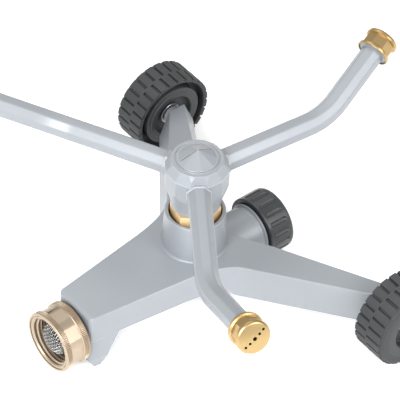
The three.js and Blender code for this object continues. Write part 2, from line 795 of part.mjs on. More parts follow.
function axlePin() {
  const headFrom = wheelInner + wheelWidth - outerRecess.depth + axleWasher.thick + 2 * gap;
  return turned([
    [0, pinStart],
    [pinRadius, pinStart],
    [pinRadius, headFrom],
    [pinHead.radius, headFrom],
    [pinHead.radius, headFrom + pinHead.thick - 0.6],
    [pinHead.radius - 0.8, headFrom + pinHead.thick],
    [0, headFrom + pinHead.thick],
  ], "x");
}

const innerWasherTo = wheelInner + innerRecess.depth - gap;
const outerWasherFrom = wheelInner + wheelWidth - outerRecess.depth + gap;
for (const [name, side] of [["right", 1], ["left", -1]]) {
  const onAxle = (solid) => {
    const placed = solid.translate([0, axleY, wheelRadius]);
    return side > 0 ? placed : placed.mirror([1, 0, 0]);
  };
  const washer = (from) => ring(pinRadius + 0.2, axleWasher.outer, from, from + axleWasher.thick, "x");
  add(`${name}_tyre`, onAxle(tyre().translate([wheelInner, 0, 0])), wheelPlastic);
  add(`${name}_wheel_hub`, onAxle(wheelHub().translate([wheelInner, 0, 0])), wheelPlastic);
  add(`${name}_axle_pin`, onAxle(axlePin()), steel);
  add(`${name}_axle_washer`, onAxle(washer(innerWasherTo - axleWasher.thick)), steel);
  add(`${name}_outer_washer`, onAxle(washer(outerWasherFrom)), steel);
}

export default sprinkler;
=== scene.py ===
# A three-arm lawn sprinkler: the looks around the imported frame. Pieces are drawn in millimetres about
# the rotor's axis, with the ground at z = 0, and toRow puts them in the row frame, in metres.
import json
import math

import bmesh
import bpy
from mathutils import Matrix, Vector


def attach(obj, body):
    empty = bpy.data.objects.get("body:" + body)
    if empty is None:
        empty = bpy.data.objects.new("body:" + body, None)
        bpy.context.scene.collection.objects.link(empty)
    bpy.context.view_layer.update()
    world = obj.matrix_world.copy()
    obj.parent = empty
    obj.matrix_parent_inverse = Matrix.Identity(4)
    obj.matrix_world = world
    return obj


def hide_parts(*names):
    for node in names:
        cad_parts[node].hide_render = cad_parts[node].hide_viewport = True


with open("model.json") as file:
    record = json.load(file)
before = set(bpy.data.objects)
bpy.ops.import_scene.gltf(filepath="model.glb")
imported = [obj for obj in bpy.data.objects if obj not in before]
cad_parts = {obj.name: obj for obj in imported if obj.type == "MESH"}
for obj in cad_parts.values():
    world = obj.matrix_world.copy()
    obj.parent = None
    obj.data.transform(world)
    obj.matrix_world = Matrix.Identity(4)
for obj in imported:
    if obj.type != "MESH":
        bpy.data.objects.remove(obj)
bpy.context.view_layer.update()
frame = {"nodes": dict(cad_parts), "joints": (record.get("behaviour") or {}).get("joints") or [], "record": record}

joints = {joint["name"]: joint for joint in frame["joints"]}
rotorAxis = Vector(joints["rotor_spin"]["pos_m"])
toRow = Matrix.Translation((rotorAxis.x, rotorAxis.y, 0)) @ Matrix.Scale(0.001, 4)
alongX = Matrix.Rotation(math.radians(90), 4, "Y")  # turns a piece drawn up +Z to lie along +X
alongY = Matrix.Rotation(math.radians(-90), 4, "X")
mirrorX = Matrix.Scale(-1, 4, (1, 0, 0))
upright = Matrix.Identity(4)
finishes = {}


def meshObject(name, bm):
    mesh = bpy.data.meshes.new(name)
    bm.to_mesh(mesh)
    bm.free()
    obj = bpy.data.objects.new(name, mesh)
    bpy.context.scene.collection.objects.link(obj)
    return obj


def outward(bm):
    bmesh.ops.recalc_face_normals(bm, faces=bm.faces)
    return bm


def arc(centre, radius, start, end, steps=5):
    turns = [math.radians(start + (end - start) * k / steps) for k in range(steps + 1)]
    return [(centre[0] + radius * math.cos(t), centre[1] + radius * math.sin(t)) for t in turns]


def turned(points, steps=96):
    # points are (radius, height); a profile that starts on the axis also ends on it,
    # and any other closes on itself
    bm = bmesh.new()
    verts = [bm.verts.new((radius, 0, height)) for radius, height in points]
    follow = verts[1:] if points[0][0] == 0 else verts[1:] + verts[:1]
    edges = [bm.edges.new(pair) for pair in zip(verts, follow)]
    bmesh.ops.spin(bm, geom=verts + edges, cent=(0, 0, 0), axis=(0, 0, 1), dvec=(0, 0, 0),
                   angle=2 * math.pi, steps=steps, use_merge=True)
    bmesh.ops.remove_doubles(bm, verts=bm.verts, dist=0.0005)
    return outward(bm)


def rod(radius, low, high, steps=64, edge=0.0):
    if edge == 0:
        return turned([(0, low), (radius, low), (radius, high), (0, high)], steps)
    return turned([(0, low), (radius - edge, low), (radius, low + edge),
                   (radius, high - edge), (radius - edge, high), (0, high)], steps)


def tube(inner, outer, low, high, edge=0.12, steps=64):
    return turned([
        (inner, low + edge), (inner + edge, low), (outer - edge, low), (outer, low + edge),
        (outer, high - edge), (outer - edge, high), (inner + edge, high), (inner, high - edge)], steps)


def cornersOf(geom):
    return [v for v in geom if isinstance(v, bmesh.types.BMVert)]


def facesOf(geom):
    return [f for f in geom if isinstance(f, bmesh.types.BMFace)]


def pushed(bm, face, vec):
    # the face drawn out along vec; returns its far copy
    cap = facesOf(bmesh.ops.extrude_face_region(bm, geom=[face])["geom"])[0]
    bmesh.ops.translate(bm, verts=cap.verts, vec=vec)
    return cap


def raised(bm, rise):
    # the flat outline in bm, drawn out along +Z into a closed solid
    grown = bmesh.ops.extrude_face_region(bm, geom=bm.faces[:])["geom"]
    bmesh.ops.translate(bm, verts=cornersOf(grown), vec=(0, 0, rise))
    return outward(bm)


def prism(sides, corner, low, high, phase=0.0):
    bm = bmesh.new()
    bmesh.ops.create_circle(bm, cap_ends=True, segments=sides, radius=corner)
    bmesh.ops.rotate(bm, verts=bm.verts, cent=(0, 0, 0), matrix=Matrix.Rotation(phase, 3, "Z"))
    bmesh.ops.translate(bm, verts=bm.verts, vec=(0, 0, low))
    return raised(bm, high - low)


def toothed(count, crest, valley, low, high, wide=0.5, fine=4, phase=0.0):
    # a round slab with straight teeth; wide is the share of the pitch that stands proud
    bm = bmesh.new()
    bmesh.ops.create_circle(bm, cap_ends=True, segments=count * fine, radius=crest)
    for k, vert in enumerate(bm.verts):
        if (k % fine) / fine >= wide:
            vert.co *= valley / crest
    bmesh.ops.rotate(bm, verts=bm.verts, cent=(0, 0, 0), matrix=Matrix.Rotation(phase, 3, "Z"))
    bmesh.ops.translate(bm, verts=bm.verts, vec=(0, 0, low))
    return raised(bm, high - low)


def threadRidge(root, crest, pitch, low, high, steps=48):
    # a helical ridge from root to crest radius, its two ends closed by the faces it starts and stops with
    bm = bmesh.new()
    half = 0.42 * pitch  # half of the ridge's foot
    flat = 0.1 * pitch  # half of its crest
    section = [(root, -half), (crest, -flat), (crest, flat), (root, half)]
    face = bm.faces.new([bm.verts.new((radius, 0, low + half + height)) for radius, height in section])
    rise = high - low - 2 * half
    total = round(steps * rise / pitch)
    bmesh.ops.spin(bm, geom=[face], cent=(0, 0, 0), axis=(0, 0, 1), dvec=(0, 0, rise / total),
                   angle=2 * math.pi * rise / pitch, steps=total, use_merge=False)
    return outward(bm)


def combined(first, *others, how="UNION"):
    body = meshObject("body", first)
    tools = [meshObject("tool", other) for other in others]
    for tool in tools:
        step = body.modifiers.new("join", "BOOLEAN")
        step.operation = how
        step.solver = "EXACT"
        step.object = tool
    result = bmesh.new()
    result.from_object(body, bpy.context.evaluated_depsgraph_get())
    for spare in [body, *tools]:
        mesh = spare.data
        bpy.data.objects.remove(spare)
        bpy.data.meshes.remove(mesh)
    bmesh.ops.remove_doubles(result, verts=result.verts, dist=0.0008)
    return result


def moved(bm, matrix):
    bm.transform(matrix)
    if matrix.determinant() < 0:
        bmesh.ops.reverse_faces(bm, faces=bm.faces)
    return bm


def joined(forms):
    # several separate closed forms in one bmesh
    whole = bmesh.new()
    for form in forms:
        spare = bpy.data.meshes.new("spare")
        form.to_mesh(spare)
        form.free()
        whole.from_mesh(spare)
        bpy.data.meshes.remove(spare)
    return whole


def softened(bm, width, segments=3, above=25, only=lambda edge: True):
    sharp = [e for e in bm.edges if e.is_manifold and e.calc_face_angle(0) > math.radians(above) and only(e)]
    bmesh.ops.bevel(bm, geom=sharp, offset=width, offset_type="OFFSET", segments=segments, profile=0.5,
                    affect="EDGES", clamp_overlap=True, material=-1)
    return bm


def piece(name, bm, slot, body, stands=(), place=upright, crease=32, finish=None):
    moved(bm, toRow @ place)
    obj = meshObject(name, bm)
    obj.data.materials.append(finishes[finish or slot])
    obj.data.shade_smooth()
    obj.data.set_sharp_from_angle(angle=math.radians(crease))
    shading = obj.modifiers.new("weighted", "WEIGHTED_NORMAL")
    shading.keep_sharp = True
    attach(obj, body)
    if stands:
        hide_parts(*stands)
    return obj


def newGroup(name, inputs, outputs):
    group = bpy.data.node_groups.new(name, "ShaderNodeTree")
    for label, kind, value in inputs:
        socket = group.interface.new_socket(name=label, in_out="INPUT", socket_type=kind)
        if value is not None:
            socket.default_value = value
    for label, kind in outputs:
        group.interface.new_socket(name=label, in_out="OUTPUT", socket_type=kind)
    return group, group.nodes.new("NodeGroupInput"), group.nodes.new("NodeGroupOutput")


def feed(tree, socket, value):
    # a link from another node's output, or a plain value
    if isinstance(value, bpy.types.NodeSocket):
        tree.links.new(value, socket)
    else:
        socket.default_value = value


def mathNode(tree, how, first, second, clamp=False):
    node = tree.nodes.new("ShaderNodeMath")
    node.operation = how
    node.use_clamp = clamp
    feed(tree, node.inputs[0], first)
    feed(tree, node.inputs[1], second)
    return node.outputs["Value"]


def noiseNode(tree, vector, scale, detail=3.0, roughness=0.55):
    node = tree.nodes.new("ShaderNodeTexNoise")
    tree.links.new(vector, node.inputs["Vector"])
    feed(tree, node.inputs["Scale"], scale)
    node.inputs["Detail"].default_value = detail
    node.inputs["Roughness"].default_value = roughness
    return node.outputs["Fac"]


def makeGrain():
    # fine surface grain and slow mottling, both from 0 to 1
    group, start, end = newGroup(
        "surfaceGrain",
        [("Vector", "NodeSocketVector", None), ("Fine Scale", "NodeSocketFloat", 900.0),
         ("Broad Scale", "NodeSocketFloat", 30.0)],
        [("Fine", "NodeSocketFloat"), ("Broad", "NodeSocketFloat")])
    fine = noiseNode(group, start.outputs["Vector"], start.outputs["Fine Scale"], 2.0, 0.6)
    broad = noiseNode(group, start.outputs["Vector"], start.outputs["Broad Scale"], 4.0, 0.5)
    group.links.new(fine, end.inputs["Fine"])
    group.links.new(broad, end.inputs["Broad"])
    return group


def makeEdgeWearAndHighlight():
    # a mask that is 1 along rounded or sharp edges, broken up by noise; the finishes lighten these edges as paint
    # wear and as a painted highlight
    group, start, end = newGroup(
        "edgeWearAndPaintedHighlight",
        [("Vector", "NodeSocketVector", None), ("Radius", "NodeSocketFloat", 0.0006),
         ("Gain", "NodeSocketFloat", 3.0)],
        [("Mask", "NodeSocketFloat")])
    rounded = group.nodes.new("ShaderNodeBevel")
    rounded.samples = 4
    group.links.new(start.outputs["Radius"], rounded.inputs["Radius"])
    surface = group.nodes.new("ShaderNodeNewGeometry")
    agree = group.nodes.new("ShaderNodeVectorMath")
    agree.operation = "DOT_PRODUCT"
    group.links.new(rounded.outputs["Normal"], agree.inputs[0])
    group.links.new(surface.outputs["Normal"], agree.inputs[1])
    bend = mathNode(group, "SUBTRACT", 1.0, agree.outputs["Value"])
    strong = mathNode(group, "MULTIPLY", bend, start.outputs["Gain"], clamp=True)
    patchy = noiseNode(group, start.outputs["Vector"], 220.0, 3.0)
    group.links.new(mathNode(group, "MULTIPLY", strong, patchy), end.inputs["Mask"])
    return group


def makeDust():
    # a thin film on faces that look up
    group, start, end = newGroup(
        "dustFilm",
        [("Vector", "NodeSocketVector", None), ("Amount", "NodeSocketFloat", 0.1)],
        [("Mask", "NodeSocketFloat")])
    surface = group.nodes.new("ShaderNodeNewGeometry")
    apart = group.nodes.new("ShaderNodeSeparateXYZ")
    group.links.new(surface.outputs["Normal"], apart.inputs["Vector"])
    facing = mathNode(group, "POWER", mathNode(group, "MAXIMUM", apart.outputs["Z"], 0.0), 2.0)
    patchy = noiseNode(group, start.outputs["Vector"], 70.0, 5.0, 0.65)
    group.links.new(mathNode(group, "MULTIPLY", mathNode(group, "MULTIPLY", facing, patchy),
                             start.outputs["Amount"]), end.inputs["Mask"])
    return group


def makeScratches():
    # fine marks drawn out along one direction, from 0 to 1; Stretch is how much longer than wide they are
    group, start, end = newGroup(
        "fineMarks",
        [("Vector", "NodeSocketVector", None), ("Stretch", "NodeSocketVector", (1.0, 1.0, 1.0)),
         ("Scale", "NodeSocketFloat", 900.0)],
        [("Marks", "NodeSocketFloat")])
    stretch = group.nodes.new("ShaderNodeVectorMath")
    stretch.operation = "MULTIPLY"
    group.links.new(start.outputs["Vector"], stretch.inputs[0])
    group.links.new(start.outputs["Stretch"], stretch.inputs[1])
    marks = noiseNode(group, stretch.outputs["Vector"], start.outputs["Scale"], 4.0, 0.7)
    group.links.new(marks, end.inputs["Marks"])
    return group


groups = {"grain": makeGrain(), "wearAndHighlight": makeEdgeWearAndHighlight(), "dust": makeDust(), "marks": makeScratches()}

dustColour = (0.62, 0.6, 0.57)
plainFinish = dict(metal=0.0, coat=0.0, dust=0.0, marks=0.0)
brassFinish = dict(fine=900, broad=60, bump=0.000006, wearAndHighlight=0.5)
# One row per finish: the colour and the tone it mottles towards, how rough and how metallic it is, the
# size and height of its grain, how much its edges lighten as wear and painted highlight, and what dust and fine
# marks it carries.
finishValues = {
    "silver_paint": dict(
        colour=(0.285, 0.305, 0.327), mottle=(0.262, 0.282, 0.306), rough=0.42, metal=0.22, coat=0.3,
        # the pale edge tone at a strong share paints a highlight along the casting's edges, on top of light paint
        # wear
        fine=1500, broad=35, bump=0.00002, edge=(0.68, 0.70, 0.72), wearAndHighlight=0.85, dust=0.04),
    "coupling_brass": brassFinish | dict(
        colour=(0.50, 0.41, 0.315), mottle=(0.44, 0.355, 0.265), rough=0.44, metal=1.0,
        edge=(0.74, 0.62, 0.46), marks=0.25, stretch=(1, 0.06, 1)),
    "gold_brass": brassFinish | dict(
        colour=(0.525, 0.38, 0.185), mottle=(0.46, 0.32, 0.145), rough=0.36, metal=1.0,
        edge=(0.76, 0.60, 0.36), marks=0.2, stretch=(1, 1, 0.08)),
    # a brighter, less metallic copy of the gold brass for the pivot stem: painted light on its hex, which sits in
    # the shaded cup
    "stem_brass_painted_bright": brassFinish | dict(
        colour=(0.86, 0.62, 0.35), mottle=(0.78, 0.54, 0.28), rough=0.45, metal=0.45,
        edge=(0.95, 0.78, 0.52), marks=0.2, stretch=(1, 1, 0.08)),
    "cap_plastic": dict(
        colour=(0.031, 0.035, 0.037), mottle=(0.026, 0.030, 0.032), rough=0.31, coat=0.15, fine=1400,
        broad=50, bump=0.00003, edge=(0.13, 0.14, 0.145), wearAndHighlight=0.5, dust=0.03),
    "tyre_rubber": dict(
        colour=(0.028, 0.030, 0.032), mottle=(0.023, 0.025, 0.027), rough=0.62, fine=1600, broad=45,
        bump=0.00005, edge=(0.075, 0.078, 0.08), wearAndHighlight=0.6, dust=0.06),
    "wheel_plastic": dict(
        colour=(0.030, 0.032, 0.033), mottle=(0.025, 0.027, 0.028), rough=0.55, fine=1500, broad=45,
        bump=0.00004, edge=(0.10, 0.105, 0.11), wearAndHighlight=0.6, dust=0.05),
    "steel": dict(
        colour=(0.42, 0.43, 0.44), mottle=(0.36, 0.37, 0.38), rough=0.33, metal=1.0, fine=1100, broad=80,
        bump=0.000008, edge=(0.8, 0.8, 0.8), wearAndHighlight=0.4, marks=0.2, stretch=(0.1, 1, 1)),
    "mesh_steel": dict(
        colour=(0.36, 0.36, 0.35), mottle=(0.28, 0.28, 0.27), rough=0.36, metal=1.0, fine=1800, broad=300,
        bump=0.000004, edge=(0.75, 0.75, 0.74), wearAndHighlight=0.3),
    "black_rubber": dict(
        colour=(0.018, 0.018, 0.018), mottle=(0.026, 0.025, 0.024), rough=0.75, fine=1800, broad=90,
        bump=0.00004, edge=(0.05, 0.05, 0.05), wearAndHighlight=0.4, dust=0.05),
    "white_nylon": dict(
        colour=(0.74, 0.72, 0.67), mottle=(0.68, 0.66, 0.60), rough=0.42, fine=1500, broad=60,
        bump=0.00002, edge=(0.85, 0.84, 0.80), wearAndHighlight=0.3),
}


def makeFinish(name, values):
    made = bpy.data.materials.new(name)
    made.use_nodes = True
    tree = made.node_tree
    shader = tree.nodes["Principled BSDF"]
    place = tree.nodes.new("ShaderNodeTexCoord")

    def use(kind, **settings):
        node = tree.nodes.new("ShaderNodeGroup")
        node.node_tree = groups[kind]
        tree.links.new(place.outputs["Object"], node.inputs["Vector"])
        for label, value in settings.items():
            node.inputs[label.replace("_", " ")].default_value = value
        return node

    def blend(factor, first, second):
        node = tree.nodes.new("ShaderNodeMix")
        node.data_type = "RGBA"
        tree.links.new(factor, node.inputs["Factor"])
        feed(tree, node.inputs["A"], first)
        feed(tree, node.inputs["B"], (*second, 1))
        return node.outputs["Result"]

    grain = use("grain", Fine_Scale=float(values["fine"]), Broad_Scale=float(values["broad"]))
    # edges turn towards the edge tone: partly paint wear, partly a painted highlight
    wearAndHighlight = use("wearAndHighlight", Radius=0.0006, Gain=4.0)
    wearAndHighlightMask = mathNode(tree, "MULTIPLY", wearAndHighlight.outputs["Mask"], values["wearAndHighlight"], clamp=True)
    colour = blend(grain.outputs["Broad"], (*values["colour"], 1), values["mottle"])
    colour = blend(wearAndHighlightMask, colour, values["edge"])
    uneven = mathNode(tree, "MULTIPLY", grain.outputs["Broad"], 0.1)
    rough = mathNode(tree, "ADD", values["rough"] - 0.05, uneven)
    if values["dust"]:
        film = use("dust", Amount=values["dust"])
        colour = blend(film.outputs["Mask"], colour, dustColour)
        rough = mathNode(tree, "ADD", rough, film.outputs["Mask"])
    height = grain.outputs["Fine"]
    if values["marks"]:
        marks = use("marks", Stretch=values["stretch"], Scale=2200.0)
        centred = mathNode(tree, "SUBTRACT", marks.outputs["Marks"], 0.5)
        rough = mathNode(tree, "ADD", rough, mathNode(tree, "MULTIPLY", centred, values["marks"]))
        height = mathNode(tree, "ADD", height, marks.outputs["Marks"])
    bump = tree.nodes.new("ShaderNodeBump")
    bump.inputs["Distance"].default_value = values["bump"]
    bump.inputs["Strength"].default_value = 0.6
    tree.links.new(height, bump.inputs["Height"])
    tree.links.new(bump.outputs["Normal"], shader.inputs["Normal"])
    tree.links.new(colour, shader.inputs["Base Color"])
    tree.links.new(rough, shader.inputs["Roughness"])
    shader.inputs["Metallic"].default_value = values["metal"]
    shader.inputs["Coat Weight"].default_value = values["coat"]
    shader.inputs["Coat Roughness"].default_value = 0.25
    return made


for slotName, slotValues in finishValues.items():
    finishes[slotName] = makeFinish(slotName, plainFinish | slotValues)
print("finishes made:", len(finishes))


# the base casting: legs, foot, boss with its cup, spigot
baseShape = {
    "inletEnd": -79.9, "inletHalfEnd": 13.4, "inletHalfRoot": 23.8, "inletBottom": 20, "pipeRadius": 11,
    "cornerStart": -22, "cornerEnd": 32, "cornerBow": 3.4, "cornerBowY": 0.8, "cornerSteps": 10,
    "rootX": 30, "rootY": 17.8, "rootTop": 37.4, "rootBottom": 19, "rootHalfTop": 12.4,
    "rootHalfBottom": 16.7,
    "tipX": 88.5, "tipY": 59.3, "tipTop": 33.1, "tipBottom": 17.2, "tipHalfTop": 5.15,
    "tipHalfBottom": 12.2,
    "padStart": -76.9, "padEnd": -73.3, "heelReach": -69.3, "heelHeight": 4.9, "footRoot": -62,
    "footBlend": 6,
    "edgeRadius": 1.1, "endRadius": 2.2, "wall": 2.6, "pocketStart": 36, "pocketEnd": 78,
    "pocketRounding": 1.5, "lip": 0.55, "columnEdge": 0.8, "stemSocket": 7.9, "socketFloor": 34,
    "hoseSocket": 8.7, "hoseSocketDepth": 13.5,
    "bossFoot": 18.4, "bossRadius": 17.4, "bossBlend": 2, "columnRadius": 12, "columnBottom": 8,
    "cupTop": 60, "cupOuter": 16.2, "cupInner": 14.2, "cupFloor": 47, "hoseAxis": 20.3, "passage": 6,
    "spigotRoot": 14.4, "spigotTip": 14.0, "collar": 15.2, "collarBead": 0.5, "collarAt": 39.5,
    "threadStart": 40.8, "threadRoot": 12.5, "threadCrest": 13.3, "threadPitch": 2.2, "spigotEnd": 50,
    "spigotBore": 9,
    "axleBoss": 5.2, "axleBossStart": 86.5, "axleBossEnd": 93.4, "axleHeight": 24.6, "pinHole": 3.3,
}


def legAt(x):
    # the wheel leg's section at x, on the straight line from root to tip
    s = baseShape
    share = (x - s["rootX"]) / (s["tipX"] - s["rootX"])
    keys = ("Y", "HalfTop", "HalfBottom", "Top", "Bottom")
    return {key: s["root" + key] + share * (s["tip" + key] - s["root" + key]) for key in keys}


def inletHalf(y):
    s = baseShape
    return s["inletHalfEnd"] + (s["inletHalfRoot"] - s["inletHalfEnd"]) * (y - s["inletEnd"]) / -s["inletEnd"]


def deckOutline(half):
    # the plan of all three legs, at their top edges (HalfTop) or their bottom edges (HalfBottom)
    s = baseShape
    start = Vector((inletHalf(s["cornerStart"]), s["cornerStart"]))
    bow = Vector((start.x + s["cornerBow"], s["cornerBowY"]))
    joint, tip, root, middle = (legAt(x) for x in (s["cornerEnd"], s["tipX"], s["rootX"], 0))
    end = Vector((s["cornerEnd"], joint["Y"] - joint[half]))
    right = [(s["inletHalfEnd"], s["inletEnd"])]
    for k in range(s["cornerSteps"] + 1):
        t = k / s["cornerSteps"]
        right.append(tuple(start * (1 - t) ** 2 + bow * 2 * t * (1 - t) + end * t ** 2))
    right += [(s["tipX"], tip["Y"] - tip[half]), (s["tipX"], tip["Y"] + tip[half]),
              (s["rootX"], root["Y"] + root[half])]
    left = [(-x, y) for x, y in reversed(right)]
    return right + [(0, middle["Y"] + middle[half])] + left


def deckAndFoot():
    s = baseShape
    bm = bmesh.new()
    loops = []
    for half, height in (("HalfTop", s["rootTop"]), ("HalfBottom", s["inletBottom"])):
        verts = [bm.verts.new((x, y, height)) for x, y in deckOutline(half)]
        bm.faces.new(verts)
        loops += [bm.edges.get(pair) for pair in zip(verts, verts[1:] + verts[:1])]
    bmesh.ops.bridge_loops(bm, edges=loops)
    cuts = [((s["rootX"], 0, 0), (1, 0, 0)), ((-s["rootX"], 0, 0), (1, 0, 0)),
            ((0, s["footRoot"], 0), (0, 1, 0))]
    for point, normal in cuts:
        everything = bm.verts[:] + bm.edges[:] + bm.faces[:]
        bmesh.ops.bisect_plane(bm, geom=everything, dist=0.001, plane_co=point, plane_no=normal)
    outward(bm)
    sole = [f for f in bm.faces if f.normal.z < -0.9 and f.calc_center_median().y < s["footRoot"]]
    for vert in bm.verts:
        if abs(vert.co.x) > s["rootX"] - 0.01:
            section = legAt(abs(vert.co.x))
            vert.co.z = section["Top"] if vert.co.z > s["hoseAxis"] + 5 else section["Bottom"]
    steps = ((s["heelHeight"], s["inletEnd"], s["heelReach"]), (0, s["padStart"], s["padEnd"]))
    for height, front, back in steps:
        grown = bmesh.ops.extrude_face_region(bm, geom=sole)["geom"]
        sole = facesOf(grown)
        for vert in {v for f in sole for v in f.verts}:
            y = front if vert.co.y < (s["padStart"] + s["heelReach"]) / 2 else back
            vert.co = (math.copysign(inletHalf(y), vert.co.x), y, height)
    outward(bm)

    def atFootRoot(edge):
        return all(abs(v.co.y - s["footRoot"]) < 0.01 and v.co.z < s["hoseAxis"] for v in edge.verts)

    def atInletEnd(edge):
        return all(abs(v.co.y - s["inletEnd"]) < 0.01 and v.co.z > s["heelHeight"] for v in edge.verts)

    softened(bm, s["footBlend"], segments=7, only=atFootRoot)
    softened(bm, s["endRadius"], segments=5, above=28, only=atInletEnd)
    softened(bm, s["edgeRadius"], segments=4, above=28)
    return bm


def bossColumn():
    s = baseShape
    foot = s["bossFoot"] - s["bossRadius"]
    blend = [(s["bossRadius"] + foot * (1 - math.sin(t)), s["rootTop"] + s["bossBlend"] * (1 - math.cos(t)))
             for t in (k * math.pi / 12 for k in range(7))]
    lip, edge = s["lip"], s["columnEdge"]
    return turned([
        (0, s["columnBottom"]), (s["columnRadius"] - edge, s["columnBottom"]),
        (s["columnRadius"], s["columnBottom"] + edge), (s["columnRadius"], s["inletBottom"] + 2),
        (s["bossFoot"], s["inletBottom"] + 4), *blend,
        *arc((s["cupOuter"] - lip, s["cupTop"] - lip), lip, 0, 90),
        *arc((s["cupInner"] + lip, s["cupTop"] - lip), lip, 90, 180),
        (s["cupInner"], s["cupFloor"] + 0.5), (s["cupInner"] - 0.5, s["cupFloor"]),
        (s["stemSocket"], s["cupFloor"]), (s["stemSocket"], s["socketFloor"]),
        (s["passage"], s["socketFloor"] - 1), (s["passage"], s["hoseAxis"] - 4), (0, s["hoseAxis"] - 5)])


def outletSpigot():
    # a tapered spigot with a fine groove before its round collar, then the thread
    s = baseShape
    collarAt, root, bead = s["collarAt"], s["threadRoot"], s["collarBead"]
    solid = turned([
        (0, 0), (s["spigotRoot"], 0), (s["spigotTip"] + 0.1, collarAt - 2.6),
        (s["spigotTip"] - 0.25, collarAt - 2.2), (s["spigotTip"] - 0.25, collarAt - 2 * bead),
        (s["collar"] - bead, collarAt - bead), *arc((s["collar"] - bead, collarAt), bead, -90, 90, 8),
        (root + 0.2, collarAt + 0.7), (root, s["threadStart"]),
        (root, s["spigotEnd"] - 0.5), (root - 0.5, s["spigotEnd"]), (0, s["spigotEnd"])])
    ridge = threadRidge(root - 0.4, s["threadCrest"], s["threadPitch"], s["threadStart"],
                        s["spigotEnd"] - 0.6)
    return combined(solid, ridge)


def legPocket():
    # the hollow under one wheel leg: a block whose two ends take the leg's section less its wall
    s = baseShape
    bm = bmesh.new()
    bmesh.ops.create_cube(bm, size=2)
    for vert in bm.verts:
        section = legAt(s["pocketEnd"] if vert.co.x > 0 else s["pocketStart"])
        half = section["HalfTop"] if vert.co.z > 0 else section["HalfBottom"]
        height = section["Top"] - s["wall"] if vert.co.z > 0 else section["Bottom"] - 1
        x = s["pocketEnd"] if vert.co.x > 0 else s["pocketStart"]
        vert.co = (x, section["Y"] + math.copysign(half - s["wall"], vert.co.y), height)

    def atRoof(edge):
        return sum(v.co.z for v in edge.verts) > 2 * s["rootBottom"]

    return softened(bm, s["pocketRounding"], segments=3, above=20, only=atRoof)


def makeBase():
    s = baseShape
    hose = Matrix.Translation((0, 0, s["hoseAxis"])) @ alongY
    axle = Matrix.Translation((0, s["tipY"], s["axleHeight"])) @ alongX
    pipe = moved(rod(s["pipeRadius"], s["inletEnd"] + 8, 0), hose)
    axleBoss = rod(s["axleBoss"], s["axleBossStart"], s["axleBossEnd"], 64, 0.4)
    axleBosses = joined([moved(axleBoss.copy(), axle), moved(axleBoss, mirrorX @ axle)])
    body = combined(deckAndFoot(), bossColumn(), moved(outletSpigot(), hose), pipe, axleBosses)
    socketEnd = s["inletEnd"] + s["hoseSocketDepth"]
    inletBore = turned([(0, s["inletEnd"] - 1), (s["hoseSocket"], s["inletEnd"] - 1),
                        (s["hoseSocket"], socketEnd), (s["passage"], socketEnd + 1.5),
                        (s["passage"], -4), (0, -4)], 48)
    outletBore = turned([(0, 4), (s["passage"], 4), (s["passage"], 25), (s["spigotBore"], 26),
                         (s["spigotBore"], s["spigotEnd"] + 1), (0, s["spigotEnd"] + 1)], 48)
    pinHole = rod(s["pinHole"], 83.2, s["axleBossEnd"] + 1, 48)
    pinHoles = joined([moved(pinHole.copy(), axle), moved(pinHole, mirrorX @ axle)])
    pocket = legPocket()
    pockets = joined([pocket.copy(), moved(pocket, mirrorX)])
    body = combined(body, moved(inletBore, hose), moved(outletBore, hose), pinHoles, pockets,
                    how="DIFFERENCE")
    return piece("baseCasting", body, "silver_paint", "base", ["base_casting"], crease=30)


makeBase()
print("base casting made")


# the inlet: swivel coupling, the stem it turns on, screen and seal washer
inletShape = {
    "mouth": -97.1, "length": 15.2, "radius": 17, "band": 3.4, "lip": 0.8, "knurlDepth": 0.5, "knurls": 110,
    "waistRound": 16.05, "waistCorner": 17.0, "sides": 8, "thread": 13.6, "backWall": 3.2, "neck": 9.5,
    "ridge": 12.75, "pitch": 2.2, "flare": 0.35, "knurlSunk": 0.03, "mouthGroove": 15.6, "mouthRim": 14.2,
    "dome": 9.15, "domeHeight": 5.35, "fullness": 0.7, "wireRadius": 0.23, "wirePitch": 1.3,
    "screenFront": -90.7, "screenBack": -90.1, "screenRim": 10.6,
}


def hoseLine(y=0):
    return Matrix.Translation((0, y, baseShape["hoseAxis"]))


def makeCoupling():
    s = inletShape
    length, radius, band = s["length"], s["radius"], s["band"]
    core = radius - s["knurlDepth"]

    def rim(at, way):
        # one end band: a rounded lip, the turned root of the knurling and a flare down to the waist
        lip = s["lip"]
        edge = arc((radius - 0.45, at + way * 0.45), 0.45, -90 * way, 0, 4)
        foot = at + way * (band + 0.9)
        return turned([(0, at), *edge, (radius, at + way * lip * 0.8), (core, at + way * lip),
                       (core, at + way * band), (core - s["flare"], at + way * (band + s["flare"])),
                       (s["waistRound"] - 0.8, foot), (0, foot)], 96)

    def knurl(at, way):
        ends = sorted((at + way * s["lip"], at + way * band))
        return toothed(s["knurls"], radius, core - s["knurlSunk"], *ends, wide=0.5, fine=4)

    waist = combined(prism(s["sides"], s["waistCorner"], 2, length - 2, math.pi / s["sides"]),
                     rod(s["waistRound"], 1, length - 1, 96), how="INTERSECT")
    solid = combined(waist, rim(0, 1), rim(length, -1), knurl(0, 1), knurl(length, -1))
    floor = length - s["backWall"]
    groove = s["mouthGroove"]
    bore = turned([(0, -1), (groove + 0.15, -1), (groove, 0.7), (groove - 0.35, 0.75), (groove - 0.45, 0.3),
                   (s["mouthRim"], 0.35), (s["thread"], 1.0), (s["thread"], floor), (s["neck"], floor),
                   (s["neck"], length + 1), (0, length + 1)], 96)
    body = combined(solid, bore, how="DIFFERENCE")
    ridge = threadRidge(s["thread"] + 0.3, s["ridge"], s["pitch"], 1.4, floor - 3.2, 48)
    body = combined(body, ridge)
    place = hoseLine(s["mouth"]) @ alongY
    return piece("inletCoupling", body, "coupling_brass", "hose_swivel", ["inlet_coupling"], place, crease=28)


# y places along the stem, from its flange in the coupling to its end in the casting
stemShape = {"bore": 6.4, "front": -87.0, "flange": 12.6, "flangeBack": -85.4, "neck": 9.2, "neckBack": -81.6,
             "collar": 11.4, "collarBack": -80.3, "tail": 8.4, "back": -66, "edge": 0.3}


